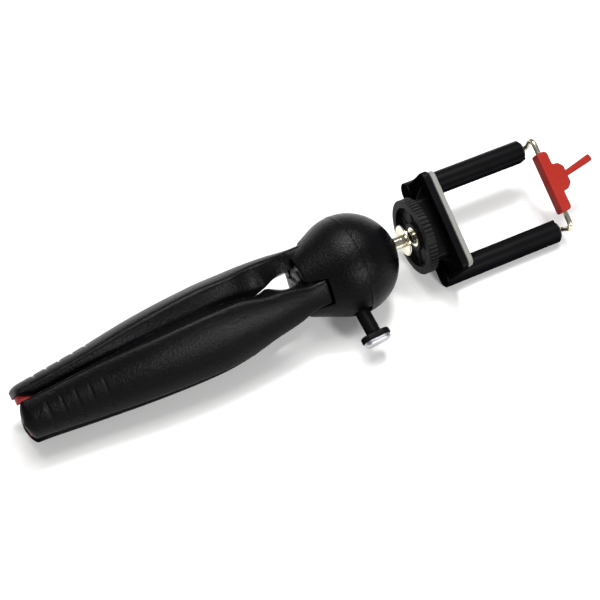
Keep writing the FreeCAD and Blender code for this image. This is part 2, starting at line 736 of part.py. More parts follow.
def stop_x():
    """Where the stop on the inner end of each wire begins."""
    return TUBE_X + TUBE_END_WALL + STOP_LENGTH


def rod_stop():
    """The stop on the inner end of a wire, on the positive side."""
    y = TUBE_SPACING / 2
    stop = rod(STOP_RADIUS, stop_x(), stop_x() + STOP_LENGTH, y, -TUBE_BEHIND)
    return stop.cut(rod(WIRE_RADIUS + PRESS_FIT, stop_x() - OVERCUT, stop_x() + STOP_LENGTH + OVERCUT,
                        y, -TUBE_BEHIND))


def clamp_spring():
    """The closed form of a pressed spring round a wire, on the positive side."""
    y = TUBE_SPACING / 2
    x_from = stop_x() + STOP_LENGTH + SPRING_END_GAP
    x_to = TUBE_X + TUBE_LENGTH - BUSH_LENGTH - SPRING_END_GAP
    sleeve = rod(SPRING_COIL_RADIUS + SPRING_WIRE_RADIUS, x_from, x_to, y, -TUBE_BEHIND)
    return sleeve.cut(rod(SPRING_COIL_RADIUS - SPRING_WIRE_RADIUS, x_from - OVERCUT, x_to + OVERCUT,
                          y, -TUBE_BEHIND))


def mirrored(shape):
    """The same piece on the negative side of the clamp."""
    return shape.mirror(CENTRE, Y_AXIS)


def bent_path(points, radius):
    """Straight runs joined by tangent arcs of one radius."""
    edges = []
    start = points[0]
    for before, corner, after in zip(points, points[1:], points[2:]):
        back = (before - corner).normalize()
        ahead = (after - corner).normalize()
        half_angle = back.getAngle(ahead) / 2
        reach = radius / math.tan(half_angle)
        bisector = (back + ahead).normalize()
        middle = corner + bisector * (radius / math.sin(half_angle) - radius)
        arc_start = corner + back * reach
        arc_end = corner + ahead * reach
        edges.append(line(start, arc_start))
        edges.append(arc(arc_start, middle, arc_end))
        start = arc_end
    edges.append(line(start, points[-1]))
    return Part.Wire(edges)


def bow_x():
    """Where the bar of the wire bow lies, with its bends just clear of the bushes."""
    return TUBE_X + TUBE_LENGTH + BUSH_STEP + BOW_GAP + WIRE_BEND_RADIUS


def wire_bow():
    """The bent wire: an arm in each tube, a step towards the front and the bar that carries the jaw."""
    y = TUBE_SPACING / 2
    side = [
        Vector(stop_x(), y, -TUBE_BEHIND),
        Vector(bow_x(), y, -TUBE_BEHIND),
        Vector(bow_x(), y + BOW_SPREAD, -BOW_BEHIND),
    ]
    other_side = [Vector(point.x, -point.y, point.z) for point in reversed(side)]
    path = bent_path(side + other_side, WIRE_BEND_RADIUS)
    ring = Part.Wire([Part.makeCircle(WIRE_RADIUS, side[0], X_AXIS)])
    return path.makePipeShell([ring], True, False)


def jaw():
    """The red jaw that turns on the wire, with its boss and finger tab."""
    bar = box(bow_x() - JAW_REACH, bow_x() + JAW_BACK, -JAW_LENGTH / 2, JAW_LENGTH / 2,
              -BOW_BEHIND - JAW_DEPTH / 2, -BOW_BEHIND + JAW_DEPTH / 2)
    bar = bar.makeFillet(JAW_ROUNDING, bar.Edges)
    low_side = BOSS_OFFSET - BOSS_WIDTH / 2
    high_side = BOSS_OFFSET + BOSS_WIDTH / 2
    root = bow_x() + JAW_BACK - JAW_ROUNDING
    crest = bow_x() + BOSS_REACH
    boss_bottom = -BOW_BEHIND - JAW_DEPTH / 2 + JAW_ROUNDING / 2
    boss_points = [
        Vector(root, low_side, boss_bottom),
        Vector(crest - BOSS_CHAMFER, low_side, boss_bottom),
        Vector(crest, low_side + BOSS_CHAMFER, boss_bottom),
        Vector(crest, high_side - BOSS_CHAMFER, boss_bottom),
        Vector(crest - BOSS_CHAMFER, high_side, boss_bottom),
        Vector(root, high_side, boss_bottom),
    ]
    boss = polygon_prism(boss_points, Z_AXIS * (JAW_DEPTH - JAW_ROUNDING))
    tab = box(0, TAB_LENGTH, -TAB_THICKNESS / 2, TAB_THICKNESS / 2, -TAB_DEPTH / 2, TAB_DEPTH / 2)
    tab = tab.makeFillet(TAB_THICKNESS * 0.45, edges_along(tab, Z_AXIS))
    tab.rotate(CENTRE, Z_AXIS, TAB_LEAN_DEG)
    tab.translate(Vector(crest - BOSS_CHAMFER, BOSS_OFFSET, -BOW_BEHIND))
    hole = Part.makeCylinder(WIRE_RADIUS + RUNNING_FIT, JAW_LENGTH + 2 * OVERCUT,
                             Vector(bow_x(), -JAW_LENGTH / 2 - OVERCUT, -BOW_BEHIND), Y_AXIS)
    whole = bar.fuse(boss).fuse(tab).cut(hole)
    whole.translate(Y_AXIS * JAW_OFFSET)
    return whole


def clamp_base():
    """The black moulding of the clamp: block on the stud, shelf and back plate."""
    half_shelf = SHELF_LENGTH / 2
    back = -TUBE_BEHIND - TUBE_RADIUS
    shelf = box(SHELF_X, SHELF_X + SHELF_THICKNESS, -half_shelf, half_shelf, -TUBE_BEHIND, SHELF_FRONT)
    front_corners = [edge for edge in edges_along(shelf, X_AXIS) if edge.CenterOfMass.z > 0]
    shelf = shelf.makeFillet(SHELF_ROUNDING, front_corners)
    block = box(BLOCK_X, SHELF_X + SHELF_THICKNESS / 2, -BLOCK_LENGTH / 2, BLOCK_LENGTH / 2,
                -BLOCK_DEPTH / 2, BLOCK_DEPTH / 2)
    block = block.makeFillet(BLOCK_ROUNDING, edges_along(block, X_AXIS))
    plate = box(BACK_PLATE_X, SHELF_X + SHELF_THICKNESS, -TUBE_SPACING / 2, TUBE_SPACING / 2,
                back, -TUBE_BEHIND + SHELF_THICKNESS)
    bridge = box(BACK_PLATE_X, SHELF_X + SHELF_THICKNESS / 2, -BLOCK_LENGTH / 2, BLOCK_LENGTH / 2, back, 0)
    base = shelf.fuse(block).fuse(plate).fuse(bridge)
    for tube in (tube_form(PRESS_FIT), mirrored(tube_form(PRESS_FIT))):
        base = base.cut(tube)
    base = base.cut(rod(NUT_RADIUS + PRESS_FIT, BLOCK_X - OVERCUT, STUD_END_X + NUT_SETBACK))
    return base.removeSplitter()


def base_pad():
    """The grey rubber pad that the phone stands on."""
    half_pad = SHELF_LENGTH / 2 - PAD_MARGIN
    x_from = SHELF_X + SHELF_THICKNESS
    back = -TUBE_BEHIND + TUBE_RADIUS + SIDE_GAP
    pad = box(x_from, x_from + PAD_THICKNESS, -half_pad, half_pad, back, SHELF_FRONT + PAD_MARGIN)
    front_corners = [edge for edge in edges_along(pad, X_AXIS) if edge.CenterOfMass.z > 0]
    return pad.makeFillet(SHELF_ROUNDING, front_corners)


def thread_insert():
    """The brass thread insert that screws on the stud."""
    x_from = BLOCK_X + NUT_SETBACK
    insert = rod(NUT_RADIUS, x_from, STUD_END_X + NUT_SETBACK)
    return insert.cut(rod(THREAD_RADIUS + RUNNING_FIT, x_from - OVERCUT, STUD_END_X + NUT_SETBACK + OVERCUT))


def body_pitch():
    """How far the head end rises when the head and the lowest leg lie on the table."""
    opening = math.radians(LEG_OPENINGS[-1])
    slopes = []
    for distance in leg_distances(SHOULDER_AT):
        lowered = leg_measures(distance)[0] + (distance + HINGE_X) * math.sin(opening)
        span = math.hypot(distance, lowered)
        slopes.append(math.asin(HEAD_RADIUS / span) - math.atan2(lowered, distance))
    return math.degrees(min(slopes))


def body_placement():
    """Where the tripod's own frame lies on the table."""
    return Placement(CENTRE, Rotation(Y_AXIS, -body_pitch()))


def head_placement():
    """Where the stud and what it carries lie, turned about the centre of the ball."""
    ball_centre = body_placement().multVec(Vector(BALL_X, 0, 0))
    turn = Rotation(Z_AXIS, HEAD_YAW_DEG)
    return Placement(ball_centre - turn.multVec(Vector(BALL_X, 0, 0)), turn)


def clamp_roll():
    """How far the clamp is turned on the stud when its lower tube lies on the table."""
    stud_height = HEAD_RADIUS + BALL_X * math.sin(math.radians(body_pitch()))
    tube_distance = math.hypot(TUBE_BEHIND, TUBE_SPACING / 2)
    lowest = math.asin((stud_height - TUBE_RADIUS) / tube_distance)
    return math.degrees(lowest - math.atan2(TUBE_BEHIND, TUBE_SPACING / 2))


def clamp_placement():
    """Where the clamp lies, turned on the stud."""
    roll = Placement(CENTRE, Rotation(X_AXIS, clamp_roll()))
    return head_placement().multiply(roll)


def body_pieces():
    """Every piece that lies in the tripod's own frame."""
    pieces = {
        "body_housing": body_housing(),
        "head_cap": head_cap(),
        "hub_plate": hub_plate(),
        "hub_screw": hub_screw(),
        "ball_seat": ball_seat(),
        "plunger": plunger(),
        "lock_screw": lock_screw(),
        "knob_handle": knob_handle(),
        "knob_cap": knob_cap(),
    }
    for number, (angle, opening) in enumerate(zip(LEG_ANGLES, LEG_OPENINGS), start=1):
        pieces["leg_%d" % number] = turn_about_x(opened(leg(), opening), angle)
        pieces["foot_sole_%d" % number] = turn_about_x(opened(leg_sole(), opening), angle)
        pieces["hinge_pin_%d" % number] = turn_about_x(hinge_pin(), angle)
    return pieces


def head_pieces():
    """The stud and the wheel."""
    return {
        "ball_stud": ball_stud(),
        "lock_wheel": lock_wheel(),
        "wheel_insert": wheel_insert(),
    }


def clamp_pieces():
    """Every piece of the phone clamp."""
    return {
        "clamp_base": clamp_base(),
        "base_pad": base_pad(),
        "thread_insert": thread_insert(),
        "clamp_tube_left": clamp_tube(),
        "clamp_tube_right": mirrored(clamp_tube()),
        "tube_bush_left": tube_bush(),
        "tube_bush_right": mirrored(tube_bush()),
        "rod_stop_left": rod_stop(),
        "rod_stop_right": mirrored(rod_stop()),
        "clamp_spring_left": clamp_spring(),
        "clamp_spring_right": mirrored(clamp_spring()),
        "wire_bow": wire_bow(),
        "jaw": jaw(),
    }


def placed(pieces, placement):
    """The pieces, moved from their own frame to the table."""
    for shape in pieces.values():
        shape.Placement = placement.multiply(shape.Placement)
    return pieces


def table_pieces():
    """Every piece in its place on the table, before the origin is set."""
    pieces = placed(body_pieces(), body_placement())
    pieces.update(placed(head_pieces(), head_placement()))
    pieces.update(placed(clamp_pieces(), clamp_placement()))
    return pieces


def origin_shift(pieces):
    """The move that puts the origin under the middle of the whole tripod, on the table."""
    whole = Part.makeCompound(list(pieces.values())).optimalBoundingBox(False)
    return Vector(-whole.Center.x, -whole.Center.y, -whole.ZMin)


def main():
    os.makedirs("parts", exist_ok=True)
    pieces = table_pieces()
    shift = origin_shift(pieces)
    for name, shape in pieces.items():
        shape.translate(shift)
        shape.exportStep("parts/" + name + ".step")
        print(name, len(shape.Solids), round(shape.Volume, 2), shape.isValid())


if __name__ == "__main__":
    main()
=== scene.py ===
"""Mini tripod with a ball head and a spring phone clamp: fine shapes, finishes, lights and camera.

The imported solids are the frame. Shapes are worked out in millimetres in small frames, one for the body, one
for each leg, one for the knob and one for the clamp with its stud, and are set down in metres.
"""
import bmesh
import bpy
import json
import math
from bpy.props import FloatProperty, FloatVectorProperty, IntProperty, PointerProperty
from bpy.types import Operator, Panel, PropertyGroup
from mathutils import Matrix, Vector


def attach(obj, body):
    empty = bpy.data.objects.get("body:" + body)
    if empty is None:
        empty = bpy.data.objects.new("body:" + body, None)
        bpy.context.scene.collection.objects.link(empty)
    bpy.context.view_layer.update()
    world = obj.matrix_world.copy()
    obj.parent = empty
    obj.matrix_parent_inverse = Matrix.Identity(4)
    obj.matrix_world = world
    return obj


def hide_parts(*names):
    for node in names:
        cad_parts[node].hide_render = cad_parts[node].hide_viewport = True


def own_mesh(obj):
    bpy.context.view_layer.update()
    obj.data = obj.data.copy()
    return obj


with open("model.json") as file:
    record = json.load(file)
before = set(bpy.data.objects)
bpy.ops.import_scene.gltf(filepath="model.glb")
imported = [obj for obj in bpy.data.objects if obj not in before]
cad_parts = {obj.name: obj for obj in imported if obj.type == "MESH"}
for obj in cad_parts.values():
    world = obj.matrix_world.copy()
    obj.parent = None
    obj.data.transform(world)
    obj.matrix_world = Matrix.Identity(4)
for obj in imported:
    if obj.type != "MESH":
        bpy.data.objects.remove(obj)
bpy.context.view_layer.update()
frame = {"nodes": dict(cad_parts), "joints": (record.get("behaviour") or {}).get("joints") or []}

bl_info = {
    "name": "Mini tripod with phone clamp",
    "version": (1, 0, 0),
    "blender": (4, 5, 0),
    "location": "3D View > Sidebar > Mini tripod",
    "description": "Dresses the packed mini tripod with fine shapes, finishes, lights and a camera",
    "category": "Object",
}

MM = 0.001
END_INSET = 0.12
MERGE_WITHIN = 0.001
DISSOLVE_WITHIN = 0.0005

# Round head and its taper
HEAD_RADIUS = 22.5
TAPER = math.radians(24.0)
LOBE_END = 24.0
LOBE_ROUNDING = 0.6
LOBE_EDGE = 1.0
CORE_RADIUS = 5.1
SLOT_HALF_WIDTH = 6.15
SLOT_END = -13.86
SLOT_BLEND = 0.1
LIP_REACH = 1.5
KNUCKLE_CLEARANCE = 7.95
CROWN_FACE_X = 20.9
SEAM_X = 0.05
BALL_X = 16.3
BALL_RADIUS = 7.5
SEAT_RADIUS = 8.35
PLUNGER_BORE = 6.85
PLUNGER_DEPTH = 7.6

# Legs: angle round the body, opening at the hinge, and the stations along a leg with their distance,
# crown, side edge, inner edge, half width at the side edge and half width at the inner edge
LEG_ANGLES = (59.5, -60.5, 179.5)
LEG_OPENINGS = (0.0, 0.0, 1.3)
HALF_SECTOR = math.radians(60.0)
HINGE_X = -21.7
HINGE_RADIUS = 10.9
LEG_STATIONS = (
    (16.1, 16.4, 15.9, 10.9, 5.85, 5.85),
    (23.0, 16.8, 15.6, 8.4, 5.85, 5.85),
    (32.0, 18.0, 15.3, 7.8, 8.6, 5.7),
    (43.0, 18.9, 15.6, 4.4, 10.2, 10.2),
    (53.0, 19.2, 14.8, 5.6, 12.8, 12.8),
    (68.0, 19.4, 15.4, 7.4, 13.6, 13.6),
    (94.0, 17.9, 13.6, 7.0, 13.0, 13.0),
    (121.0, 14.6, 10.2, 5.6, 11.8, 11.8),
    (152.3, 11.6, 7.2, 4.2, 8.9, 8.9),
)
LEG_START = LEG_STATIONS[0][0]
LEG_END = LEG_STATIONS[-1][0]
HOLLOW_FROM = 43.0
HOLLOW_FULL = 47.0
LEG_WALL = 2.4
LEG_GAP = 0.35
KNUCKLE_ROUNDING = 0.6
TIP_ROUNDING = 4.5
TIP_SIDE = 9.9
TIP_LIFT = 4.2
TIP_DROP = 1.0
TIP_LIFT_FROM = 143.0
TIP_WALL_FROM = 151.3
SOLE_FROM = 126.5
SOLE_HEIGHT = 3.0
GROOVE_FROM = 117.0
GROOVE_WIDTH = 1.5
GROOVE_LENGTH = 12.5
FINE_RINGS_FROM = 113.8
FINE_RINGS_TO = 141.5

# Lock knob
KNOB_ANGLE = 108.0
KNOB_X = -4.2
STEM_RADIUS = 3.25
STEM_BORE = 2.6
STEM_FOOT = 21.0
STEM_TOP = 32.2
STEM_FLARE = 0.6
KNOB_LENGTH = 13.4
KNOB_DEPTH = 7.6
KNOB_THICKNESS = 3.0
CAP_MARGIN = 1.2
CAP_RISE = 2.0

# Stud and wheel
NECK_RADIUS = 2.85
FLANGE_X = 27.9
FLANGE_RADIUS = 7.0
FLANGE_THICKNESS = 1.2
THREAD_RADIUS = 3.175
THREAD_DEPTH = 0.35
THREAD_TURNS = 9.0
THREAD_LENGTH = 11.4
STUD_END_X = 41.5
WHEEL_X = 31.9
WHEEL_END = 36.3
WHEEL_RADIUS = 17.25
WHEEL_RIM = 3.4
WHEEL_WEB = 2.0
WHEEL_HUB = 6.4
RIB_HEIGHT = 0.7
INSERT_HOLE = 4.45

# Clamp
BLOCK_X = 36.6
BLOCK_HALF = 14.0
SHELF_X = 42.4
SHELF_BACK = 45.4
SHELF_LENGTH = 46.6
SHELF_FRONT = 16.0
SHELF_CORNER = 3.5
PAD_THICKNESS = 2.3
TUBE_X = 41.8
TUBE_END = 101.0
TUBE_Y = 20.4
TUBE_Z = -9.8
TUBE_RADIUS = 5.1
TUBE_BORE = 3.45
TUBE_BORE_DEPTH = 4.2
RAIL_INSET = 5.1
RAIL_HALF = 3.5
RAIL_EDGE = 0.35
BOW_X = 105.1
BOW_Z = -1.0
BOW_SPREAD = 2.6
BEND_RADIUS = 3.0
WIRE_RADIUS = 1.25
STOP_X = 46.2
SPRING_FROM = 48.9
SPRING_TO = 96.7
SPRING_RADIUS = 2.5
SPRING_WIRE = 0.4
JAW_OFFSET = 0.1
JAW_HALF = 14.5
JAW_REACH = 2.7
JAW_DEPTH = 3.2
BOSS_OFFSET = 1.0
BOSS_HALF = 6.5
TAB_LENGTH = 17.2
TAB_TURN = 12

# Colours of small parts, and measures of the grain, dust and haze
NYLON = (0.6, 0.59, 0.54)
HUB_GREY = (0.03, 0.03, 0.032)
BUSH_BLACK = (0.014, 0.014, 0.014)
CAP_CHROME = (0.42, 0.42, 0.45)
BRASS = (0.62, 0.46, 0.2)
WHITE = (1.0, 1.0, 1.0, 1.0)
SPECKS_PER_GRAIN = 0.35
SPECK_RADIUS = 0.16
DUSTY_FROM = 0.56
DUST_SHADE = 2.5
HAZE_PER_LINE = 0.06

# Stage
TABLE_REACH = 4.0
TABLE_LIFT = 0.12
LIGHT_DISTANCE = 0.8
WIDE_LIGHT = 0.6
SMALL_LIGHT = 0.16


# Small frames
def joint(name):
    """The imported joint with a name."""
    return next(entry for entry in frame["joints"] if entry["name"] == name)


def turned(degrees, axis):
    """A turn about an axis of a small frame."""
    return Matrix.Rotation(math.radians(degrees), 4, axis)


def shifted(x, y, z):
    """A shift in a small frame."""
    return Matrix.Translation((x, y, z))


def upright_frame(origin, x_axis, y_axis):
    """The matrix from millimetres in a small frame to metres in the table's frame."""
    x_axis, y_axis = x_axis.normalized(), y_axis.normalized()
    turn = Matrix((x_axis, y_axis, x_axis.cross(y_axis))).transposed().to_4x4()
    return Matrix.Translation(origin) @ turn @ Matrix.Scale(MM, 4)


def body_frame():
    """The tripod's own frame: its centre in the middle of the head, X towards the clamp."""
    along = Vector(joint("ball_pan")["axis"])
    centre = Vector(joint("ball_pan")["pos_m"]) - along * BALL_X * MM
    return upright_frame(centre, along, Vector((0, 1, 0)))


def clamp_frame():
    """The clamp's frame: X along the stud, Y across the clamp, Z out of its open front."""
    along = Vector(joint("clamp_turn")["axis"])
    start = Vector(joint("clamp_turn")["pos_m"]) - along * BLOCK_X * MM
    return upright_frame(start, along, Vector(joint("jaw_hinge")["axis"]))


def knob_frame():
    """The knob's frame: Z out along the knob, X along the tripod."""
    return body_frame() @ turned(KNOB_ANGLE, "X") @ shifted(KNOB_X, 0, 0)


def leg_frame(number):
    """The frame of one leg, turned round the body and opened on its hinge pin."""
    hinge = shifted(HINGE_X, 0, HINGE_RADIUS)
    opening = turned(LEG_OPENINGS[number], "Y")
    return body_frame() @ turned(LEG_ANGLES[number], "X") @ hinge @ opening @ hinge.inverted()


# Meshes
def mesh_of(name, points, faces):
    """A closed mesh with its doubles merged and its faces outwards."""
    mesh = bpy.data.meshes.new(name)
    mesh.from_pydata([tuple(point) for point in points], [], faces)
    work = bmesh.new()
    work.from_mesh(mesh)
    bmesh.ops.remove_doubles(work, verts=work.verts, dist=MERGE_WITHIN)
    bmesh.ops.dissolve_degenerate(work, edges=work.edges, dist=DISSOLVE_WITHIN)
    bmesh.ops.recalc_face_normals(work, faces=work.faces)
    if work.calc_volume(signed=True) < 0:
        bmesh.ops.reverse_faces(work, faces=work.faces)
    work.to_mesh(mesh)
    work.free()
    return mesh


def lofted(name, rings, closed=False):
    """A mesh through rings of equally many points, capped at both ends or closed on itself."""
    count = len(rings[0])
    points = [point for ring in rings for point in ring]
    faces = []
    for row in range(len(rings) if closed else len(rings) - 1):
        start, after = row * count, (row + 1) % len(rings) * count
        for column in range(count):
            beside = (column + 1) % count
            faces.append((start + column, start + beside, after + beside, after + column))
    if not closed:
        faces.append(tuple(reversed(range(count))))
        faces.append(tuple(range(len(points) - count, len(points))))
    return mesh_of(name, points, faces)


def all_round(segments):
    """Angles all round in equal steps."""
    return [2 * math.pi * step / segments for step in range(segments)]


def revolved(name, profile, segments=72, closed=True):
    """A mesh turned round X from pairs of place and radius."""
    turns = all_round(segments)
    rings = [[(place, radius * math.cos(turn), radius * math.sin(turn)) for turn in turns]
             for place, radius in profile]
    return lofted(name, rings, closed)


def along_x(place, across, up):
    """A point of an outline that is drawn in Y and Z and runs along X."""
    return place, across, up


def along_z(place, across, up):
    """A point of an outline that is drawn in X and Y and runs along Z."""
    return across, up, place


def inset(outline, amount):
    """A counter-clockwise outline, moved inwards all round."""
    moved = []
    for index, point in enumerate(outline):
        point = Vector(point)
        before = (point - Vector(outline[index - 1])).normalized()
        after = (Vector(outline[(index + 1) % len(outline)]) - point).normalized()
        first, second = Vector((before.y, -before.x)), Vector((after.y, -after.x))
        reach = amount / max(0.4, 1 + first.dot(second))
        moved.append(point - (first + second) * reach)
    return moved


def corner_curve(start, corner, end, shares):
    """Points of the curve from start to end that bends past a corner."""
    return [start.lerp(corner, share).lerp(corner.lerp(end, share), share) for share in shares]


def both_sides(points):
    """The points of one half up to the middle, and their mirror images after them."""
    return points + [Vector((-point.x, point.y)) for point in reversed(points[:-1])]


def rounded(corners, radius, steps=4):
    """An outline with its corners rounded; radius is one for all or one for each."""
    radii = radius if isinstance(radius, (list, tuple)) else [radius] * len(corners)
    outline = []
    for index, corner in enumerate(corners):
        corner = Vector(corner)
        back = Vector(corners[index - 1]) - corner
        ahead = Vector(corners[(index + 1) % len(corners)]) - corner
        reach = min(radii[index], back.length * 0.49, ahead.length * 0.49)
        start, end = corner + back.normalized() * reach, corner + ahead.normalized() * reach
        outline += corner_curve(start, corner, end, [step / steps for step in range(steps + 1)])
    return outline


def rectangle(left, right, bottom, top):
    """The four corners of a rectangle, counter-clockwise."""
    return [(left, bottom), (right, bottom), (right, top), (left, top)]


def stadium(length, depth, steps=10):
    """An oval with straight sides, long in its first direction."""
    middle, radius = (length - depth) / 2, depth / 2
    outline = []
    for centre, start in ((middle, -0.5), (-middle, 0.5)):
        turns = [math.pi * (step / steps + start) for step in range(steps + 1)]
        outline += [(centre + radius * math.cos(turn), radius * math.sin(turn)) for turn in turns]
    return outline


def rim(place, rounding, side=1, steps=4):
    """Places and margins of a rounded rim, from the end face to the full outline."""
    turns = [math.pi / 2 * step / steps for step in range(steps + 1)]
    return [(place + side * rounding * (1 - math.cos(turn)), rounding * (1 - math.sin(turn)))
            for turn in turns]


def soft_prism(name, outline, low, high, rounding, lift=along_x, top_rounding=None, tray=None):
    """A prism with rounded rims. A tray sinks its low end, by margin and depth."""
    top_rounding = rounding if top_rounding is None else top_rounding
    levels = [(low, rounding + END_INSET)]
    if tray:
        margin, depth = tray
        floor = low + depth
        levels = [(floor, margin + 0.3), (floor, margin + 0.1), (low + 0.3, margin), (low, margin - 0.25)]
    levels += rim(low, rounding) + rim(high, top_rounding, -1)[::-1] + [(high, top_rounding + END_INSET)]
    rings = [[lift(level, *point) for point in inset(outline, inward)] for level, inward in levels]
    return lofted(name, rings)


def soft_box(name, sides, corner, low, high, rounding, steps=4, **more):
    """A prism with rounded rims on a rectangle with rounded corners."""
    return soft_prism(name, rounded(rectangle(*sides), corner, steps), low, high, rounding, **more)


def joined(name, meshes):
    """Several meshes as one."""
    work = bmesh.new()
    for mesh in meshes:
        work.from_mesh(mesh)
    mesh = bpy.data.meshes.new(name)
    work.to_mesh(mesh)
    work.free()
    return mesh


def linked(name, data):
    """A new object in the scene."""
    made = bpy.data.objects.new(name, data)
    bpy.context.scene.collection.objects.link(made)
    return made


def changed(mesh, modify):
    """The mesh after a modifier, which is made on a passing object and then removed with it."""
    holder = linked("passing", mesh)
    modify(holder)
    graph = bpy.context.evaluated_depsgraph_get()
    result = bpy.data.meshes.new_from_object(holder.evaluated_get(graph), depsgraph=graph)
    bpy.data.objects.remove(holder)
    return result


def cut_by(mesh, cutter):
    """A mesh with another cut out of it."""
    tool = linked("cutter", cutter)

    def modify(holder):
        modifier = holder.modifiers.new("Cut", "BOOLEAN")
        modifier.object = tool
        modifier.operation = "DIFFERENCE"
        modifier.solver = "EXACT"

    result = changed(mesh, modify)
    bpy.data.objects.remove(tool)
    return result


def swept(name, path, radius, segments=16):
    """A round bar along a path of points."""
    rings, turns = [], all_round(segments)
    across = (path[1] - path[0]).normalized().orthogonal().normalized()
    for index, point in enumerate(path):
        along = (path[min(index + 1, len(path) - 1)] - path[max(index - 1, 0)]).normalized()
        across = (across - along * across.dot(along)).normalized()
        first, second = across * radius, along.cross(across) * radius
        rings.append([point + first * math.cos(turn) + second * math.sin(turn) for turn in turns])
    return lofted(name, rings)


def bent_path(points, radius, steps=8):
    """Straight runs through points, with a true arc of one radius at each corner."""
    path = [points[0]]
    for before, corner, after in zip(points, points[1:], points[2:]):
        back, ahead = (before - corner).normalized(), (after - corner).normalized()
        half = back.angle(ahead) / 2
        centre = corner + (back + ahead).normalized() * (radius / math.sin(half))
        start = corner + back * (radius / math.tan(half)) - centre
        end = corner + ahead * (radius / math.tan(half)) - centre
        for step in range(steps + 1):
            path.append(centre + start.normalized().slerp(end.normalized(), step / steps) * radius)
    return path + [points[-1]]


def add_piece(name, mesh, place, finish, body, stands_for, sharp_from=38, even=True):
    """Sets a mesh down in the table's frame as a piece that rides on a body and stands for solids."""
    material = finishes()[finish]
    mesh.transform(place)
    mesh.shade_smooth()
    mesh.set_sharp_from_angle(angle=math.radians(sharp_from))
    mesh.materials.clear()
    mesh.materials.append(material)
    mesh.name = name
    piece = linked(name, mesh)
    if even:
        piece.modifiers.new("Even shading", "WEIGHTED_NORMAL").keep_sharp = True
    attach(piece, body)
    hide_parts(*stands_for)
    return piece


# Node trees
class Tree:
    """Adds nodes to a tree and joins their sockets."""

    def __init__(self, tree):
        self.tree = tree

    def add(self, kind, inputs=None, **settings):
        """A node with its settings and inputs: values, sockets, or nodes that give their first output."""
        made = self.tree.nodes.new(kind)
        for key, value in settings.items():
            setattr(made, key, value)
        for key, value in (inputs or {}).items():
            value = value.outputs[0] if isinstance(value, bpy.types.Node) else value
            if isinstance(value, bpy.types.NodeSocket):
                self.tree.links.new(value, made.inputs[key])
            else:
                made.inputs[key].default_value = value
        return made

    def math(self, operation, first, second=0.0, clamp=False):
        """The output of a Math node."""
        made = self.add("ShaderNodeMath", {0: first, 1: second}, operation=operation, use_clamp=clamp)
        return made.outputs[0]

    def product(self, first, second):
        """The product of two values."""
        return self.math("MULTIPLY", first, second)


def cleared(owner):
    """The emptied node tree of a material or a world."""
    owner.use_nodes = True
    owner.node_tree.nodes.clear()
    return Tree(owner.node_tree)


def group_with(name, kind, inputs, outputs, output_kind="Float"):
    """A new node group and its inputs, each named with its default, or with its kind where it has none."""
    tree = bpy.data.node_groups.new(name, kind)
    for label, default in inputs.items():
        socket_kind = {float: "Float", int: "Int"}.get(type(default), default)
        made = tree.interface.new_socket(name=label, in_out="INPUT", socket_type="NodeSocket" + socket_kind)
        if socket_kind != default:
            made.default_value = default
    for label in outputs:
        tree.interface.new_socket(name=label, in_out="OUTPUT", socket_type="NodeSocket" + output_kind)
    work = Tree(tree)
    return work, work.add("NodeGroupInput").outputs


def once(make_tree):
    """The node group that a function makes, made the first time and named like the function."""
    name = make_tree.__name__.replace("_", " ").capitalize()
    return bpy.data.node_groups.get(name) or make_tree(name)


def moulded_grain(name):
    """Shader group: the fine grain, cloudiness and dust of moulded plastic and rubber."""
    inputs = {"Vector": "Vector", "Grain Size": 0.0004, "Cloud Size": 0.012, "Dust": 0.3}
    work, start = group_with(name, "ShaderNodeTree", inputs, ["Height", "Cloud", "Dust"])
    fine = work.math("DIVIDE", 1.0, start["Grain Size"])
    wide = work.math("DIVIDE", 1.0, start["Cloud Size"])

    def noise(scale, detail, roughness):
        inputs = {"Vector": start["Vector"], "Scale": scale, "Detail": detail, "Roughness": roughness}
        return work.add("ShaderNodeTexNoise", inputs).outputs["Fac"]

    grain = noise(fine, 3.0, 0.65)
    cloud = noise(wide, 4.0, 0.55)
    specks = {"Vector": start["Vector"], "Scale": work.product(fine, SPECKS_PER_GRAIN)}
    from_speck = work.add("ShaderNodeTexVoronoi", specks).outputs["Distance"]
    near = work.math("LESS_THAN", from_speck, SPECK_RADIUS)
    patchy = work.math("GREATER_THAN", cloud, DUSTY_FROM)
    dust = work.product(work.product(near, patchy), start["Dust"])
    work.add("NodeGroupOutput", {"Height": grain, "Cloud": cloud, "Dust": dust})
    return work.tree


def fine_scratches(name):
    """Shader group: the fine lines and the haze of plated or turned metal."""
    inputs = {"Vector": "Vector", "Line Size": 0.0003}
    work, start = group_with(name, "ShaderNodeTree", inputs, ["Height", "Haze"])
    fine = work.math("DIVIDE", 1.0, start["Line Size"])
    stretch = work.add("ShaderNodeMapping", {"Vector": start["Vector"], "Scale": (0.08, 1.0, 1.0)})
    lines = work.add("ShaderNodeTexNoise", {"Vector": stretch, "Scale": fine, "Detail": 2.0})
    wide = work.product(fine, HAZE_PER_LINE)
    haze = work.add("ShaderNodeTexNoise", {"Vector": start["Vector"], "Scale": wide, "Detail": 3.0})
    work.add("NodeGroupOutput", {"Height": lines.outputs["Fac"], "Haze": haze.outputs["Fac"]})
    return work.tree


# Finishes
def ranged(work, value, low, high):
    """A value's stretch from 0.3 to 0.7, brought between two others."""
    inputs = {"Value": value, "From Min": 0.3, "From Max": 0.7, "To Min": low, "To Max": high}
    return work.add("ShaderNodeMapRange", inputs).outputs["Result"]


def mixed(work, share, first, second):
    """The colour between two others."""
    return work.add("ShaderNodeMix", {0: share, 6: first, 7: second}, data_type="RGBA").outputs[2]


def shade(colour, factor):
    """A colour made darker or lighter, with its alpha."""
    return tuple(min(1.0, part * factor) for part in colour[:3]) + (1.0,)


def titled(values):
    """Values by the names of the sockets that take them."""
    return {key.replace("_", " ").title(): value for key, value in values.items()}


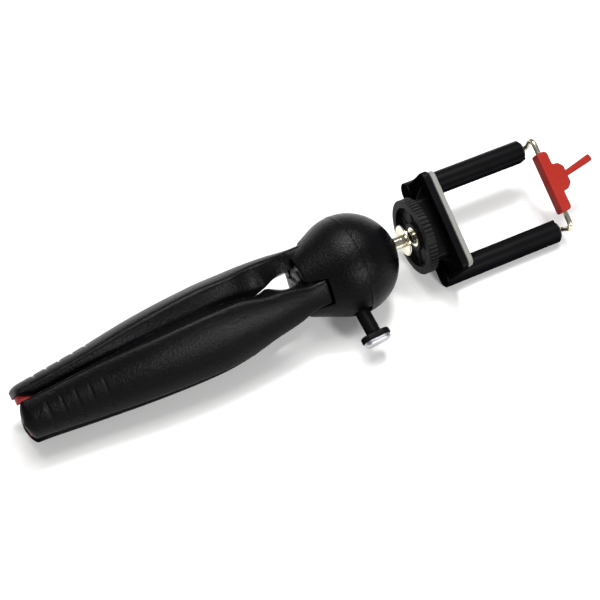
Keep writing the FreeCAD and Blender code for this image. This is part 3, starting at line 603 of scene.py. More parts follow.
def new_material(name, slot, make_tree, **values):
    """A material for a slot of the record, with its tree and the outputs of its shader group."""
    material = bpy.data.materials.new(name)
    material["slot"] = slot
    work = cleared(material)
    inputs = {"Vector": work.add("ShaderNodeTexCoord").outputs["Object"], **titled(values)}
    return material, work, work.add("ShaderNodeGroup", inputs, node_tree=once(make_tree)).outputs


def surfaced(work, inputs):
    """Gives a material its surface shader and returns that shader's inputs."""
    shader = work.add("ShaderNodeBsdfPrincipled", inputs)
    work.add("ShaderNodeOutputMaterial", {"Surface": shader})
    return shader.inputs


def plastic(name, slot, colour, roughness, grain=0.0005, bump=0.2, depth=0.00005, spread=0.2, dust=0.05,
            gloss=0.5, gloss_share_in_painted_shade=1.0):
    """Moulded plastic or rubber, with grain, clouds and dust. Faces turned down keep only a share of the
    gloss; this is painted shade that dims their reflection of the table.
    """
    material, work, group = new_material(name, slot, moulded_grain, grain_size=grain, dust=dust)
    base = mixed(work, group["Cloud"], shade(colour, 1 - spread), shade(colour, 1 + spread))
    grained = {"Strength": bump, "Distance": depth, "Height": group["Height"]}
    inputs = surfaced(work, {
        "Base Color": mixed(work, group["Dust"], base, shade(colour, DUST_SHADE)),
        "Roughness": ranged(work, group["Cloud"], roughness * 0.88, roughness * 1.1),
        "Normal": work.add("ShaderNodeBump", grained),
        "Specular IOR Level": gloss,
    })
    # Painted shade: the gloss drops on faces turned down in the world, so they reflect less of the table.
    if gloss_share_in_painted_shade < 1:
        facing = work.add("ShaderNodeSeparateXYZ", {0: work.add("ShaderNodeNewGeometry").outputs["Normal"]})
        level = ranged(work, facing.outputs["Z"], gloss * gloss_share_in_painted_shade, gloss)
        work.tree.links.new(level, inputs["Specular IOR Level"])
    return material


def metal(name, slot, colour, roughness, lines=0.0002):
    """Plated or turned metal: fine lines, haze and a warmer and a cooler tone."""
    material, work, group = new_material(name, slot, fine_scratches, line_size=lines)
    lined = {"Strength": 0.08, "Distance": 0.00002, "Height": group["Height"]}
    surfaced(work, {
        "Base Color": mixed(work, group["Haze"], shade(colour, 0.9), shade(colour, 1.06)),
        "Roughness": ranged(work, group["Haze"], roughness * 0.7, roughness * 1.4),
        "Normal": work.add("ShaderNodeBump", lined),
        "Metallic": 1.0,
    })
    return material


def finishes():
    """Every finish by name, made once."""
    made = {entry["finish"]: entry for entry in bpy.data.materials if "finish" in entry}
    if made:
        return made
    colours = bpy.context.scene.tripod_finishes
    # Where a plastic keeps less gloss on faces turned down, that is painted shade: those faces reflect less
    # of the table.
    made = {
        "body": plastic("Satin black body", "black_body", colours.body_colour, 0.3, grain=0.001, bump=1.0,
                        depth=0.00025, dust=0.06, gloss=0.1, gloss_share_in_painted_shade=0.5),
        "clamp": plastic("Glossy black clamp", "black_clamp", colours.clamp_colour, 0.36, grain=0.0008,
                         bump=0.12, depth=0.00004, dust=0.1, gloss=0.06, gloss_share_in_painted_shade=0.0),
        "wheel": plastic("Satin grey wheel", "grey_wheel", colours.wheel_colour, 0.36, grain=0.0004, bump=0.3,
                         dust=0.15, gloss=0.1, gloss_share_in_painted_shade=0.25),
        "sole": plastic("Red rubber soles", "red_rubber", colours.sole_colour, 0.7, bump=0.5, depth=0.00008,
                        spread=0.15),
        "jaw": plastic("Red jaw", "red_jaw", colours.jaw_colour, 0.46, grain=0.0004, bump=0.3, spread=0.08,
                       dust=0.02, gloss=0.25, gloss_share_in_painted_shade=0.2),
        "pad": plastic("Grey rubber pad", "grey_pad", colours.pad_colour, 0.75, grain=0.0004, bump=0.5,
                       depth=0.00008, spread=0.08, gloss=0.2),
        "nylon": plastic("Natural nylon", "nylon", NYLON, 0.45, depth=0.00004, spread=0.06, dust=0.02),
        "hub": plastic("Grey hub plate", "black_body", HUB_GREY, 0.45, bump=0.4),
        "bush": plastic("Black nylon", "black_bush", BUSH_BLACK, 0.4, depth=0.00004),
        "chrome": metal("Polished nickel", "chrome", colours.nickel_colour, 0.1, 0.0003),
        "cap": metal("Satin chrome cap", "chrome", CAP_CHROME, 0.34),
        "steel": metal("Plated wire", "steel", colours.wire_colour, 0.22),
        "brass": metal("Turned brass", "brass", BRASS, 0.28),
    }
    for name, material in made.items():
        material["finish"] = name
    return made


# Geometry Nodes trees
def geometry_group(name, **measures):
    """A new geometry tree that takes a geometry, some measures and a material."""
    inputs = {"Geometry": "Geometry", **titled(measures), "Material": "Material"}
    return group_with(name, "GeometryNodeTree", inputs, ["Geometry"], "Geometry")


def made_real(work, start, made):
    """Ends a geometry tree: real faces with the material that it takes."""
    real = work.add("GeometryNodeRealizeInstances", {0: made})
    finish = work.add("GeometryNodeSetMaterial", {"Geometry": real, "Material": start["Material"]})
    work.add("NodeGroupOutput", {0: finish})
    return work.tree


def ring_of_copies(name):
    """Geometry tree: copies of what it is given, turned round X in equal steps."""
    work, start = geometry_group(name, count=6)
    whole = work.add("GeometryNodeGeometryToInstance", {0: start["Geometry"]})
    inputs = {"Geometry": whole, "Amount": start["Count"]}
    copies = work.add("GeometryNodeDuplicateElements", inputs, domain="INSTANCE").outputs
    step = work.math("DIVIDE", 2 * math.pi, start["Count"])
    turn = work.add("ShaderNodeCombineXYZ", {"X": work.product(step, copies["Duplicate Index"])})
    rotation = work.add("FunctionNodeEulerToRotation", {0: turn})
    inputs = {"Instances": copies["Geometry"], "Rotation": rotation, "Local Space": False}
    return made_real(work, start, work.add("GeometryNodeRotateInstances", inputs))


def coil(name):
    """Geometry tree: a round wire wound along X."""
    work, start = geometry_group(name, turns=20.0, coil_radius=2.5, length=40.0, wire_radius=0.4, start=0.0)
    spiral = work.add("GeometryNodeCurveSpiral", {
        "Resolution": 20, "Rotations": start["Turns"], "Start Radius": start["Coil Radius"],
        "End Radius": start["Coil Radius"], "Height": start["Length"]})
    circle = work.add("GeometryNodeCurvePrimitiveCircle", {"Resolution": 8, "Radius": start["Wire Radius"]})
    inputs = {"Curve": spiral, "Profile Curve": circle, "Fill Caps": True}
    tube = work.add("GeometryNodeCurveToMesh", inputs)
    shift = work.add("ShaderNodeCombineXYZ", {"X": start["Start"]})
    inputs = {"Geometry": tube, "Translation": shift, "Rotation": (0.0, math.pi / 2, 0.0)}
    return made_real(work, start, work.add("GeometryNodeTransform", inputs))


def grip_grooves(name):
    """Geometry tree: presses evenly spaced grooves into the crown of a leg that lies along -X."""
    work, start = geometry_group(name, count=5, first_at=GROOVE_FROM, pitch=6.0, width=GROOVE_WIDTH,
                                 length=GROOVE_LENGTH, depth=0.5)
    place = work.add("ShaderNodeSeparateXYZ", {0: work.add("GeometryNodeInputPosition")}).outputs
    facing = work.add("ShaderNodeSeparateXYZ", {0: work.add("GeometryNodeInputNormal")}).outputs
    past_first = work.math("SUBTRACT", work.product(place["X"], -1.0), start["First At"])
    number = work.math("ROUND", work.math("DIVIDE", past_first, start["Pitch"]))
    last = work.math("SUBTRACT", start["Count"], 1.0)
    kept = work.math("MAXIMUM", work.math("MINIMUM", number, last), 0.0)
    off_line = work.math("ABSOLUTE", work.math("SUBTRACT", past_first, work.product(kept, start["Pitch"])))
    half_width = work.math("DIVIDE", start["Width"], 2.0)
    inward = work.math("SUBTRACT", 1.0, work.math("DIVIDE", off_line, half_width), clamp=True)
    half_length = work.math("DIVIDE", start["Length"], 2.0)
    within = work.math("SUBTRACT", half_length, work.math("ABSOLUTE", place["Y"]), clamp=True)
    outer = work.math("GREATER_THAN", facing["Z"], 0.5)
    mask = work.product(work.product(inward, within), outer)
    offset = work.add("ShaderNodeCombineXYZ", {"Z": work.product(work.product(mask, start["Depth"]), -1.0)})
    inputs = {"Geometry": start["Geometry"], "Offset": offset}
    return made_real(work, start, work.add("GeometryNodeSetPosition", inputs))


def grown(mesh, make_tree, **values):
    """The mesh that a geometry tree makes of another, with the tree's inputs set by name."""
    tree = once(make_tree)
    sockets = {entry.name: entry.identifier for entry in tree.interface.items_tree if entry.in_out == "INPUT"}

    def modify(holder):
        modifier = holder.modifiers.new("Grow", "NODES")
        modifier.node_group = tree
        for key, value in titled(values).items():
            modifier[sockets[key]] = value

    return changed(mesh, modify)


# Sizes and colours that a user would change
def length_setting(name, description, default, least=0.0, most=10.0):
    """A length, given in millimetres."""
    return FloatProperty(name=name, description=description, default=default * MM, min=least * MM,
                         max=most * MM, unit="LENGTH")


def count_setting(name, description, default, least, most):
    """A number of like details."""
    return IntProperty(name=name, description=description, default=default, min=least, max=most)


def colour_setting(name, description, *default):
    """A colour as red, green and blue."""
    return FloatVectorProperty(name=name, description=description, default=default, subtype="COLOR",
                               size=3, min=0, max=1)


def power_setting(name, description, default):
    """The power of a light in watts."""
    return FloatProperty(name=name, description=description, default=default, min=0, unit="POWER")


def angle_setting(name, description, default):
    """An angle, given in degrees."""
    return FloatProperty(name=name, description=description, default=math.radians(default), subtype="ANGLE")


class TripodSizes(PropertyGroup):
    """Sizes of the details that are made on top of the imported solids."""
    edge_rounding: length_setting("Leg edge rounding", "Rounding along the legs' outer edges", 1.7, 0.2, 3.0)
    groove_count: count_setting("Grip grooves", "Grooves across each leg", 5, 1, 9)
    groove_pitch: length_setting("Groove pitch", "Distance from groove to groove", 6.0)
    groove_depth: length_setting("Groove depth", "Depth of the grip grooves", 0.5)
    seam_height: length_setting("Seam height", "How far the seam of the head stands out", 0.14)
    knurl_count: count_setting("Wheel ribs", "Ribs round the wheel", 56, 12, 120)
    spoke_count: count_setting("Wheel spokes", "Spokes in the wheel", 6, 3, 12)
    spring_turns: count_setting("Spring turns", "Turns of each spring", 30, 5, 60)


class TripodFinishes(PropertyGroup):
    """Colours of the finishes."""
    body_colour: colour_setting("Body", "Head and legs", 0.0016, 0.0016, 0.002)
    clamp_colour: colour_setting("Clamp", "Clamp base, tubes and knob", 0.003, 0.003, 0.0035)
    wheel_colour: colour_setting("Wheel", "Knurled wheel", 0.009, 0.009, 0.0093)
    sole_colour: colour_setting("Soles", "Rubber soles of the legs", 0.42, 0.035, 0.03)
    jaw_colour: colour_setting("Jaw", "Jaw of the clamp", 0.26, 0.012, 0.006)
    pad_colour: colour_setting("Pad", "Rubber pad of the clamp", 0.2, 0.2, 0.188)
    nickel_colour: colour_setting("Stud", "Ball and stud", 0.72, 0.69, 0.56)
    wire_colour: colour_setting("Wire", "Wire bow and pins", 0.62, 0.58, 0.46)


class TripodStage(PropertyGroup):
    """Lights and camera."""
    key_power: power_setting("Key light", "Power of the large light above", 6.6)
    front_power: power_setting("Front light", "Power of the low light in front", 4.4)
    small_power: power_setting("Small light", "Power of the small light above", 3.0)
    world_strength: FloatProperty(name="Room light", description="Strength of the even light all round",
                                  default=0.28, min=0)
    camera_distance: FloatProperty(name="Camera distance", description="From the camera to the head",
                                   default=0.567, unit="LENGTH")
    camera_azimuth: angle_setting("Camera azimuth", "Turn of the camera round the object", -28.6)
    camera_elevation: angle_setting("Camera elevation", "Height of the camera as an angle", 54.4)


# Head
def head_radius_at(place):
    """Outer radius of the head or its taper at a place on the axis."""
    if place < -HEAD_RADIUS * math.sin(TAPER):
        return HEAD_RADIUS / math.cos(TAPER) + place * math.tan(TAPER)
    return math.sqrt(HEAD_RADIUS ** 2 - place ** 2)


def lobe_outline(place):
    """Outline across the head at a place, counter-clockwise in Y and Z, with the three leg slots."""
    radius = head_radius_at(place)
    openness = min(1.0, max(0.0, (SLOT_END - place) / SLOT_BLEND))
    edge_turn = -math.asin(SLOT_HALF_WIDTH / radius) - LOBE_EDGE / radius

    def on_head(turn):
        return Vector((radius * math.sin(turn), radius * math.cos(turn)))

    side = [on_head(-HALF_SECTOR + (HALF_SECTOR + edge_turn) * step / 8) for step in range(9)]
    corner = Vector((-SLOT_HALF_WIDTH, math.sqrt(radius ** 2 - SLOT_HALF_WIDTH ** 2)))
    wall_top, wall_foot = corner - Vector((0, LOBE_EDGE)), Vector((-SLOT_HALF_WIDTH, CORE_RADIUS))
    slot = corner_curve(side[-1], corner, wall_top, (0.25, 0.5, 0.75, 1.0))
    slot += [wall_top.lerp(wall_foot, share) for share in (0.33, 0.66, 1.0)]
    slot += [Vector((wall_foot.x * share, CORE_RADIUS)) for share in (0.5, 0.0)]
    plain = [on_head(edge_turn * (1 - step / len(slot))) for step in range(1, len(slot) + 1)]
    third = both_sides(side + [first.lerp(second, openness) for first, second in zip(plain, slot)])[:-1]
    outline = []
    for angle in sorted(LEG_ANGLES, reverse=True):
        outline += [Matrix.Rotation(math.radians(angle), 2) @ point for point in third]
    return outline[::-1]


def lower_head_mesh(seam):
    """The lower head with its three lobes, the bore behind the seam and the seat of the lock screw."""
    rings = rim(-LOBE_END, LOBE_ROUNDING)
    rings += [(-23.0 + 0.9 * step, 0.0) for step in range(10)]
    rings += [(SLOT_END - SLOT_BLEND, 0.0), (SLOT_END, 0.0)]
    rings += [(SLOT_END + 0.2 + 0.85 * step, 0.0) for step in range(16)]
    rings += [(-0.55, 0.0), (-0.2, -seam), (SEAM_X - 0.01, -seam)]
    sections = [[along_x(place, *point) for point in inset(lobe_outline(place), margin)]
                for place, margin in rings]
    for place in (SEAM_X - 0.01, -PLUNGER_DEPTH):
        shares = [(across, up, PLUNGER_BORE / math.hypot(across, up)) for _, across, up in sections[-1]]
        sections.append([(place, across * share, up * share) for across, up, share in shares])
    hole, floor, wide, mouth = 2.55, 20.4, 6.4, 26.0
    profile = [(0.0, 0.0), (0.0, hole), (floor, hole), (floor, 4.2), (floor + 0.4, 4.6), (floor + 3.0, wide),
               (mouth, wide), (mouth, 0.0)]
    seat = revolved("screw_seat", profile, 48, False)
    seat.transform(turned(KNOB_ANGLE, "X") @ shifted(KNOB_X, 0, 0) @ turned(-90, "Y"))
    lips = [slot_lip_mesh(angle) for angle in LEG_ANGLES]
    return joined("lower_head", [cut_by(lofted("lower_head", sections), seat)] + lips)


def slot_lip_mesh(angle):
    """The edge that closes the top of a leg slot, clear of the swing of the leg's knuckle."""
    rings = []
    for step in range(6):
        place = SLOT_END - LIP_REACH + (LIP_REACH + 0.6) * step / 5
        radius = head_radius_at(place)
        swing = math.sqrt(max(0.0, KNUCKLE_CLEARANCE ** 2 - (place - HINGE_X) ** 2))
        low = HINGE_RADIUS + max(swing, 2.0)
        turns = [math.asin(SLOT_HALF_WIDTH / radius) * 0.35 * number for number in range(-3, 4)]
        top = [(place, radius * math.sin(turn), radius * math.cos(turn)) for turn in turns]
        rings.append(top + [(place, across, low) for place, across, up in reversed(top)])
    mesh = lofted("slot_lip", rings)
    mesh.transform(turned(angle, "X"))
    return mesh


def crown_mesh(seam):
    """The upper head: sphere, flat crown, neck opening and the socket inside."""
    profile = [(SEAM_X + 0.01, SEAT_RADIUS), (SEAM_X + 0.01, HEAD_RADIUS + seam), (0.25, HEAD_RADIUS + seam),
               (0.55, HEAD_RADIUS)]
    turn = math.radians(87)
    while HEAD_RADIUS * math.cos(turn) < CROWN_FACE_X - 0.5:
        profile.append((HEAD_RADIUS * math.cos(turn), HEAD_RADIUS * math.sin(turn)))
        turn -= math.radians(3)
    brow, neck = math.sqrt(HEAD_RADIUS ** 2 - CROWN_FACE_X ** 2), 6.05
    for depth, radius in ((0.45, brow + 0.85), (0.15, brow + 0.3), (0.0, brow - 0.4), (0.0, neck + 0.45),
                          (0.15, neck + 0.05), (0.5, neck)):
        profile.append((CROWN_FACE_X - depth, radius))
    for step in range(1, 6):
        place = CROWN_FACE_X - 0.5 + (BALL_X - CROWN_FACE_X + 0.5) * step / 5
        profile.append((place, math.sqrt((BALL_RADIUS + 0.15) ** 2 - (place - BALL_X) ** 2)))
    profile += [(BALL_X, SEAT_RADIUS)]
    return revolved("crown", profile, 120)


class TRIPOD_OT_make_head(Operator):
    """Make the round head: the lower half with its lobes and the crown"""
    bl_idname = "tripod.make_head"
    bl_label = "Make the head"

    def execute(self, context):
        seam = context.scene.tripod_sizes.seam_height / MM
        add_piece("head_lower_shell", lower_head_mesh(seam), body_frame(), "body", "handle", ["body_housing"])
        add_piece("head_crown_shell", crown_mesh(seam), body_frame(), "body", "handle", ["head_cap"])
        return {"FINISHED"}


# Legs
def eased(column, at):
    """A measure on the smooth curve through the stations of a leg."""
    last = len(LEG_STATIONS) - 1
    step = max(index for index in range(last) if LEG_STATIONS[index][0] <= at or index == 0)
    slopes = []
    for end in (step, step + 1):
        before, after = LEG_STATIONS[max(end - 1, 0)], LEG_STATIONS[min(end + 1, last)]
        slopes.append((after[column] - before[column]) / (after[0] - before[0]))
    start, stop = LEG_STATIONS[step], LEG_STATIONS[step + 1]
    reach = stop[0] - start[0]
    share = (at - start[0]) / reach
    rise = share * share * (3 - 2 * share)
    bends = slopes[0] * share * (1 - share) ** 2 + slopes[1] * share * share * (share - 1)
    return start[column] + rise * (stop[column] - start[column]) + bends * reach


def inner_half(distance):
    """Half width of a leg at its inner edge, clear of its neighbours."""
    return min(eased(5, distance), eased(3, distance) * math.tan(HALF_SECTOR) - LEG_GAP)


def tip_share(distance):
    """How much of its width a leg keeps near its rounded tip."""
    past = (distance - (LEG_END - TIP_ROUNDING)) / TIP_ROUNDING
    if past <= 0:
        return 1.0
    return min(1.0, TIP_SIDE / LEG_STATIONS[-1][4] * math.sqrt(max(0.0, 1 - past * past)))


def tip_lift(distance):
    """How far the black walls stop short of the sole near the tip."""
    share = (distance - TIP_LIFT_FROM) / (LEG_END - TIP_LIFT_FROM)
    return TIP_LIFT * max(0.0, share) ** 1.3


def leg_ring(distance, soft, shrink):
    """Outline across a leg: outer walls and crown, then the rim and the hollow, clockwise from the left."""
    crown, edge, root, half = [eased(column, distance) for column in range(1, 5)]
    root_half = inner_half(distance)
    crown -= TIP_DROP * max(0.0, (distance - LEG_END) / TIP_ROUNDING + 1.0) ** 2
    root = min(root + tip_lift(distance), edge - 0.3)
    rise = crown - edge
    radius = (half ** 2 + rise ** 2) / (2 * rise)
    soft = min(soft, max(0.05, edge - root) * 0.5)
    corner, foot = Vector((-half, edge)), Vector((-root_half, root))
    wall_top = corner + (foot - corner).normalized() * soft
    arc_turn = math.asin(min(1.0, half / radius)) - soft / radius

    def on_crown(turn):
        return Vector((-radius * math.sin(turn), crown - radius * (1 - math.cos(turn))))

    outer = [foot, foot.lerp(wall_top, 0.5)]
    outer += corner_curve(wall_top, corner, on_crown(arc_turn), [step / 5 for step in range(6)])
    outer += [on_crown(arc_turn * (1 - step / 8)) for step in range(1, 9)]
    hollow = min(1.0, max(0.0, (distance - HOLLOW_FROM) / (HOLLOW_FULL - HOLLOW_FROM)))
    if distance > TIP_WALL_FROM:
        hollow = 0.0
    ceiling = crown - LEG_WALL
    inner = [Vector((root_half - LEG_WALL, root)), Vector((half - LEG_WALL, edge - LEG_WALL / 2)),
             Vector(((half - LEG_WALL) * 0.6, ceiling - rise * 0.3)), Vector((0, ceiling))]
    sunk = []
    for point in both_sides(inner):
        height = (point.y - root) * hollow
        wall = root_half + (half - root_half) * height / (edge - root) - LEG_WALL * 0.9
        sunk.append(Vector((max(-wall, min(wall, point.x)), root + height)))
    outline = [Vector((point.x * tip_share(distance), point.y)) for point in both_sides(outer) + sunk]
    if shrink > 0:
        outline = inset(outline[::-1], shrink)[::-1]
    return [along_x(-distance, *point) for point in outline]


def leg_mesh(soft):
    """One leg at the top of the body, from its rounded knuckle to its rounded tip."""
    rings = rim(LEG_START, KNUCKLE_ROUNDING)
    distance = LEG_START + KNUCKLE_ROUNDING + 0.8
    while distance < LEG_END - TIP_ROUNDING:
        rings.append((distance, 0.0))
        distance += 0.3 if FINE_RINGS_FROM < distance < FINE_RINGS_TO else 1.5
    for step in range(9):
        reach = TIP_ROUNDING * math.sin(math.radians(86) * step / 8)
        rings.append((LEG_END - TIP_ROUNDING + reach, 0.9 * (step / 8) ** 3))
    return lofted("leg", [leg_ring(distance, soft, shrink) for distance, shrink in rings])


def sole_part(name, first, last, steps, half_at, height_at, rounding, corner_steps):
    """A rubber bar along the inner edge of a leg, with its half width and height at each distance."""
    rings = []
    for step in range(steps + 1):
        distance = first + (last - first) * step / steps
        half, root = half_at(distance) * tip_share(distance), eased(3, distance)
        outline = rounded(rectangle(-half, half, root, root + height_at(distance)), rounding, corner_steps)
        rings.append([along_x(-distance, *point) for point in outline])
    return lofted(name, rings)


def sole_mesh():
    """The rubber sole: a block in the hollow, and a wedge under the lifted walls at the tip."""

    def wedge_height(distance):
        return min(tip_lift(distance), eased(2, distance) - eased(3, distance) - 0.3) - 0.04

    block = sole_part("block", SOLE_FROM, TIP_WALL_FROM - 0.3, 16,
                      lambda distance: inner_half(distance) - LEG_WALL - 0.1,
                      lambda distance: SOLE_HEIGHT, 0.5, 3)
    wedge = sole_part("wedge", TIP_LIFT_FROM + 2.0, TIP_WALL_FROM - 0.1, 12,
                      lambda distance: (inner_half(distance) - 0.15) * 0.92, wedge_height, 0.12, 2)
    return joined("sole", [block, wedge])


class TRIPOD_OT_make_legs(Operator):
    """Make the three folded legs with their grip grooves and soles"""
    bl_idname = "tripod.make_legs"
    bl_label = "Make the legs"

    def execute(self, context):
        sizes = context.scene.tripod_sizes
        for number in range(len(LEG_ANGLES)):
            mark = "_%d" % (number + 1)
            place, body = leg_frame(number), "leg" + mark + "_body"
            leg = grown(leg_mesh(sizes.edge_rounding / MM), grip_grooves, count=sizes.groove_count,
                        first_at=GROOVE_FROM, pitch=sizes.groove_pitch / MM, width=GROOVE_WIDTH,
                        length=GROOVE_LENGTH, depth=sizes.groove_depth / MM, material=finishes()["body"])
            add_piece("leg_shell" + mark, leg, place, "body", body, ["leg" + mark], 50, False)
            add_piece("foot_sole_shell" + mark, sole_mesh(), place, "sole", body, ["foot_sole" + mark])
        return {"FINISHED"}


# Knob
class TRIPOD_OT_make_knob(Operator):
    """Make the lock knob: stem, oval head and silver cap"""
    bl_idname = "tripod.make_knob"
    bl_label = "Make the lock knob"

    def execute(self, context):
        collar, flared = STEM_TOP + 1.2, STEM_RADIUS + STEM_FLARE
        stem = revolved("stem", [(STEM_FOOT, STEM_BORE), (STEM_FOOT, STEM_RADIUS - 0.3),
                                 (STEM_FOOT + 0.3, STEM_RADIUS), (STEM_TOP - STEM_FLARE, STEM_RADIUS),
                                 (STEM_TOP, flared), (collar, flared), (collar, STEM_BORE)], 48)
        stem.transform(turned(-90, "Y"))
        top = STEM_TOP + KNOB_THICKNESS
        head = soft_prism("head", stadium(KNOB_LENGTH, KNOB_DEPTH), STEM_TOP, top - 0.3, 0.9, along_z, 0.35)
        cap_outline = stadium(KNOB_LENGTH - CAP_MARGIN, KNOB_DEPTH - CAP_MARGIN)
        cap = soft_prism("cap", cap_outline, top - 0.6, top + CAP_RISE, 0.3, along_z, 1.3)
        handle = joined("handle", [stem, head])
        add_piece("knob_handle_shell", handle, knob_frame(), "clamp", "knob_body", ["knob_handle"])
        add_piece("knob_cap_shell", cap, knob_frame(), "cap", "knob_body", ["knob_cap"])
        return {"FINISHED"}


# Stud and wheel
class TRIPOD_OT_make_stud(Operator):
    """Make the ball with its neck, flange and thread"""
    bl_idname = "tripod.make_stud"
    bl_label = "Make the stud"

    def execute(self, context):
        neck_turn = math.asin(NECK_RADIUS / BALL_RADIUS)
        turns = [math.pi - (math.pi - neck_turn) * step / 24 for step in range(25)]
        profile = [(BALL_X + BALL_RADIUS * math.cos(turn), BALL_RADIUS * math.sin(turn)) for turn in turns]
        flange_end, core = FLANGE_X + FLANGE_THICKNESS, THREAD_RADIUS - THREAD_DEPTH
        profile += [(FLANGE_X + 0.2, NECK_RADIUS), (FLANGE_X + 0.4, NECK_RADIUS + 0.3)]
        for place, margin in ((FLANGE_X, 0.9), (FLANGE_X, 0.3), (FLANGE_X + 0.1, 0.1), (FLANGE_X + 0.3, 0.0),
                              (flange_end - 0.3, 0.0), (flange_end - 0.1, 0.1), (flange_end, 0.3)):
            profile.append((place, FLANGE_RADIUS - margin))
        profile += [(flange_end, core), (STUD_END_X - 0.5, core), (STUD_END_X, core - 0.5), (STUD_END_X, 0.0)]
        body = revolved("stud", profile, 64, False)
        thread = grown(bpy.data.meshes.new("thread"), coil, turns=THREAD_TURNS, coil_radius=core,
                       length=THREAD_LENGTH, wire_radius=0.34, start=flange_end + 0.4,
                       material=finishes()["chrome"])
        stud = joined("stud", [body, thread])
        add_piece("ball_stud_shell", stud, clamp_frame(), "chrome", "stud_body", ["ball_stud"])
        return {"FINISHED"}


class TRIPOD_OT_make_wheel(Operator):
    """Make the ribbed lock wheel with its spokes"""
    bl_idname = "tripod.make_wheel"
    bl_label = "Make the wheel"

    def execute(self, context):
        sizes, grey = context.scene.tripod_sizes, finishes()["wheel"]
        web, face, inner = WHEEL_END - WHEEL_WEB, WHEEL_X + 1.0, WHEEL_RADIUS - WHEEL_RIM
        base = WHEEL_RADIUS - RIB_HEIGHT
        corners = [(face, INSERT_HOLE), (web, INSERT_HOLE), (WHEEL_END, INSERT_HOLE), (WHEEL_END, base),
                   (WHEEL_X + 0.6, base), (WHEEL_X + 0.5, WHEEL_RADIUS), (WHEEL_X, WHEEL_RADIUS),
                   (WHEEL_X, inner), (web, inner), (web, WHEEL_HUB), (face, WHEEL_HUB)]
        profile = rounded(corners, [0.2, 0.05, 0.4, 0.4, 0.05, 0.2, 0.3, 0.45, 0.5, 0.5, 0.3], 3)
        foot = base - 0.4
        rib_corners = [(-0.62, foot), (0.62, foot), (0.5, WHEEL_RADIUS), (-0.5, WHEEL_RADIUS)]
        rib = soft_prism("rib", rounded(rib_corners, [0.05, 0.05, 0.45, 0.45], 3), WHEEL_X + 0.4,
                         WHEEL_END - 0.05, 0.12)
        ribs = grown(rib, ring_of_copies, count=sizes.knurl_count, material=grey)
        sides = (-0.75, 0.75, WHEEL_HUB - 0.6, inner + 0.8)
        spoke = soft_box("spoke", sides, 0.1, WHEEL_X + 2.0, web + 0.5, 0.25)
        spokes = grown(spoke, ring_of_copies, count=sizes.spoke_count, material=grey)
        wheel = joined("wheel", [revolved("wheel", profile, 112), ribs, spokes])
        add_piece("lock_wheel_shell", wheel, clamp_frame(), "wheel", "wheel_body", ["lock_wheel"])
        return {"FINISHED"}


# Clamp
def tube_outline(side):
    """Outline of a clamp tube in Y and Z: round, with a squared rail towards the phone."""
    rail_y, shares = TUBE_Y - RAIL_INSET, (0.0, 0.3, 0.7, 1.0)
    upper, lower = TUBE_Z + RAIL_HALF, TUBE_Z - RAIL_HALF
    outline = [(rail_y + RAIL_EDGE * (1 - share), upper - RAIL_EDGE * share) for share in shares]
    outline += [(rail_y + RAIL_EDGE * share, lower + RAIL_EDGE * (1 - share)) for share in shares]
    turn_from = 2 * math.pi - math.acos(-math.sqrt(TUBE_RADIUS ** 2 - RAIL_HALF ** 2) / TUBE_RADIUS)
    for step in range(33):
        turn = turn_from + 2 * (2 * math.pi - turn_from) * step / 32
        outline.append((TUBE_Y + TUBE_RADIUS * math.cos(turn), TUBE_Z + TUBE_RADIUS * math.sin(turn)))
    return outline if side > 0 else [(-across, up) for across, up in reversed(outline)]


def tube_mesh(side):
    """One tube, closed behind and open in front, with the short slot near its closed end."""
    tube = soft_prism("tube", tube_outline(side), TUBE_X, TUBE_END, 0.34, top_rounding=0.25)
    bottom, mouth = TUBE_END - TUBE_BORE_DEPTH, TUBE_END + 0.2
    bore = revolved("bore", [(bottom, 0.0), (bottom, TUBE_BORE), (TUBE_END - 0.3, TUBE_BORE),
                             (mouth, TUBE_BORE + 0.45), (mouth, 0.0)], 40, False)
    bore.transform(shifted(0, side * TUBE_Y, TUBE_Z))
    sides = (TUBE_X + 2.0, TUBE_X + 6.0, side * TUBE_Y - 0.8, side * TUBE_Y + 0.8)
    slot = soft_box("slot", sides, 0.3, TUBE_Z + 2.5, TUBE_Z + TUBE_RADIUS + 1.0, 0.05, lift=along_z)
    return cut_by(cut_by(tube, bore), slot)


def gusset_mesh(side):
    """One thin rib between the block and the shelf, drawn counter-clockwise on either side."""
    back, front, inner, outer, level, half = 38.6, 43.9, 13.4, 18.8, 4.6, 0.65
    corners = [(back, side * inner), (front, side * inner), (front, side * outer)]
    return soft_prism("gusset", rounded(corners[::side], 0.3), level - half, level + half, 0.2, along_z)


def base_mesh():
    """The black moulding: shelf with its raised rim, back plate, block on the stud and ribs."""
    half, low, front = SHELF_LENGTH / 2, TUBE_Z - TUBE_RADIUS, SHELF_BACK - 0.8
    corners = [2.2, 2.2, SHELF_CORNER, SHELF_CORNER]
    shelf = soft_box("shelf", (-half, half, TUBE_Z, SHELF_FRONT), corners, SHELF_X, SHELF_BACK, 0.5, 6,
                     tray=(1.7, 1.3))
    plate = soft_box("plate", (-TUBE_Y, TUBE_Y, low, TUBE_Z + 3.0), 0.6, TUBE_X, SHELF_BACK, 0.5)
    bridge = soft_box("bridge", (-BLOCK_HALF, BLOCK_HALF, low, 0.0), 0.6, TUBE_X - 0.1, front, 0.4)
    block = soft_box("block", (-BLOCK_HALF, BLOCK_HALF, -8.0, 8.0), 2.2, BLOCK_X, front, 0.8, 6)
    return joined("base", [shelf, plate, bridge, block, gusset_mesh(-1), gusset_mesh(1)])


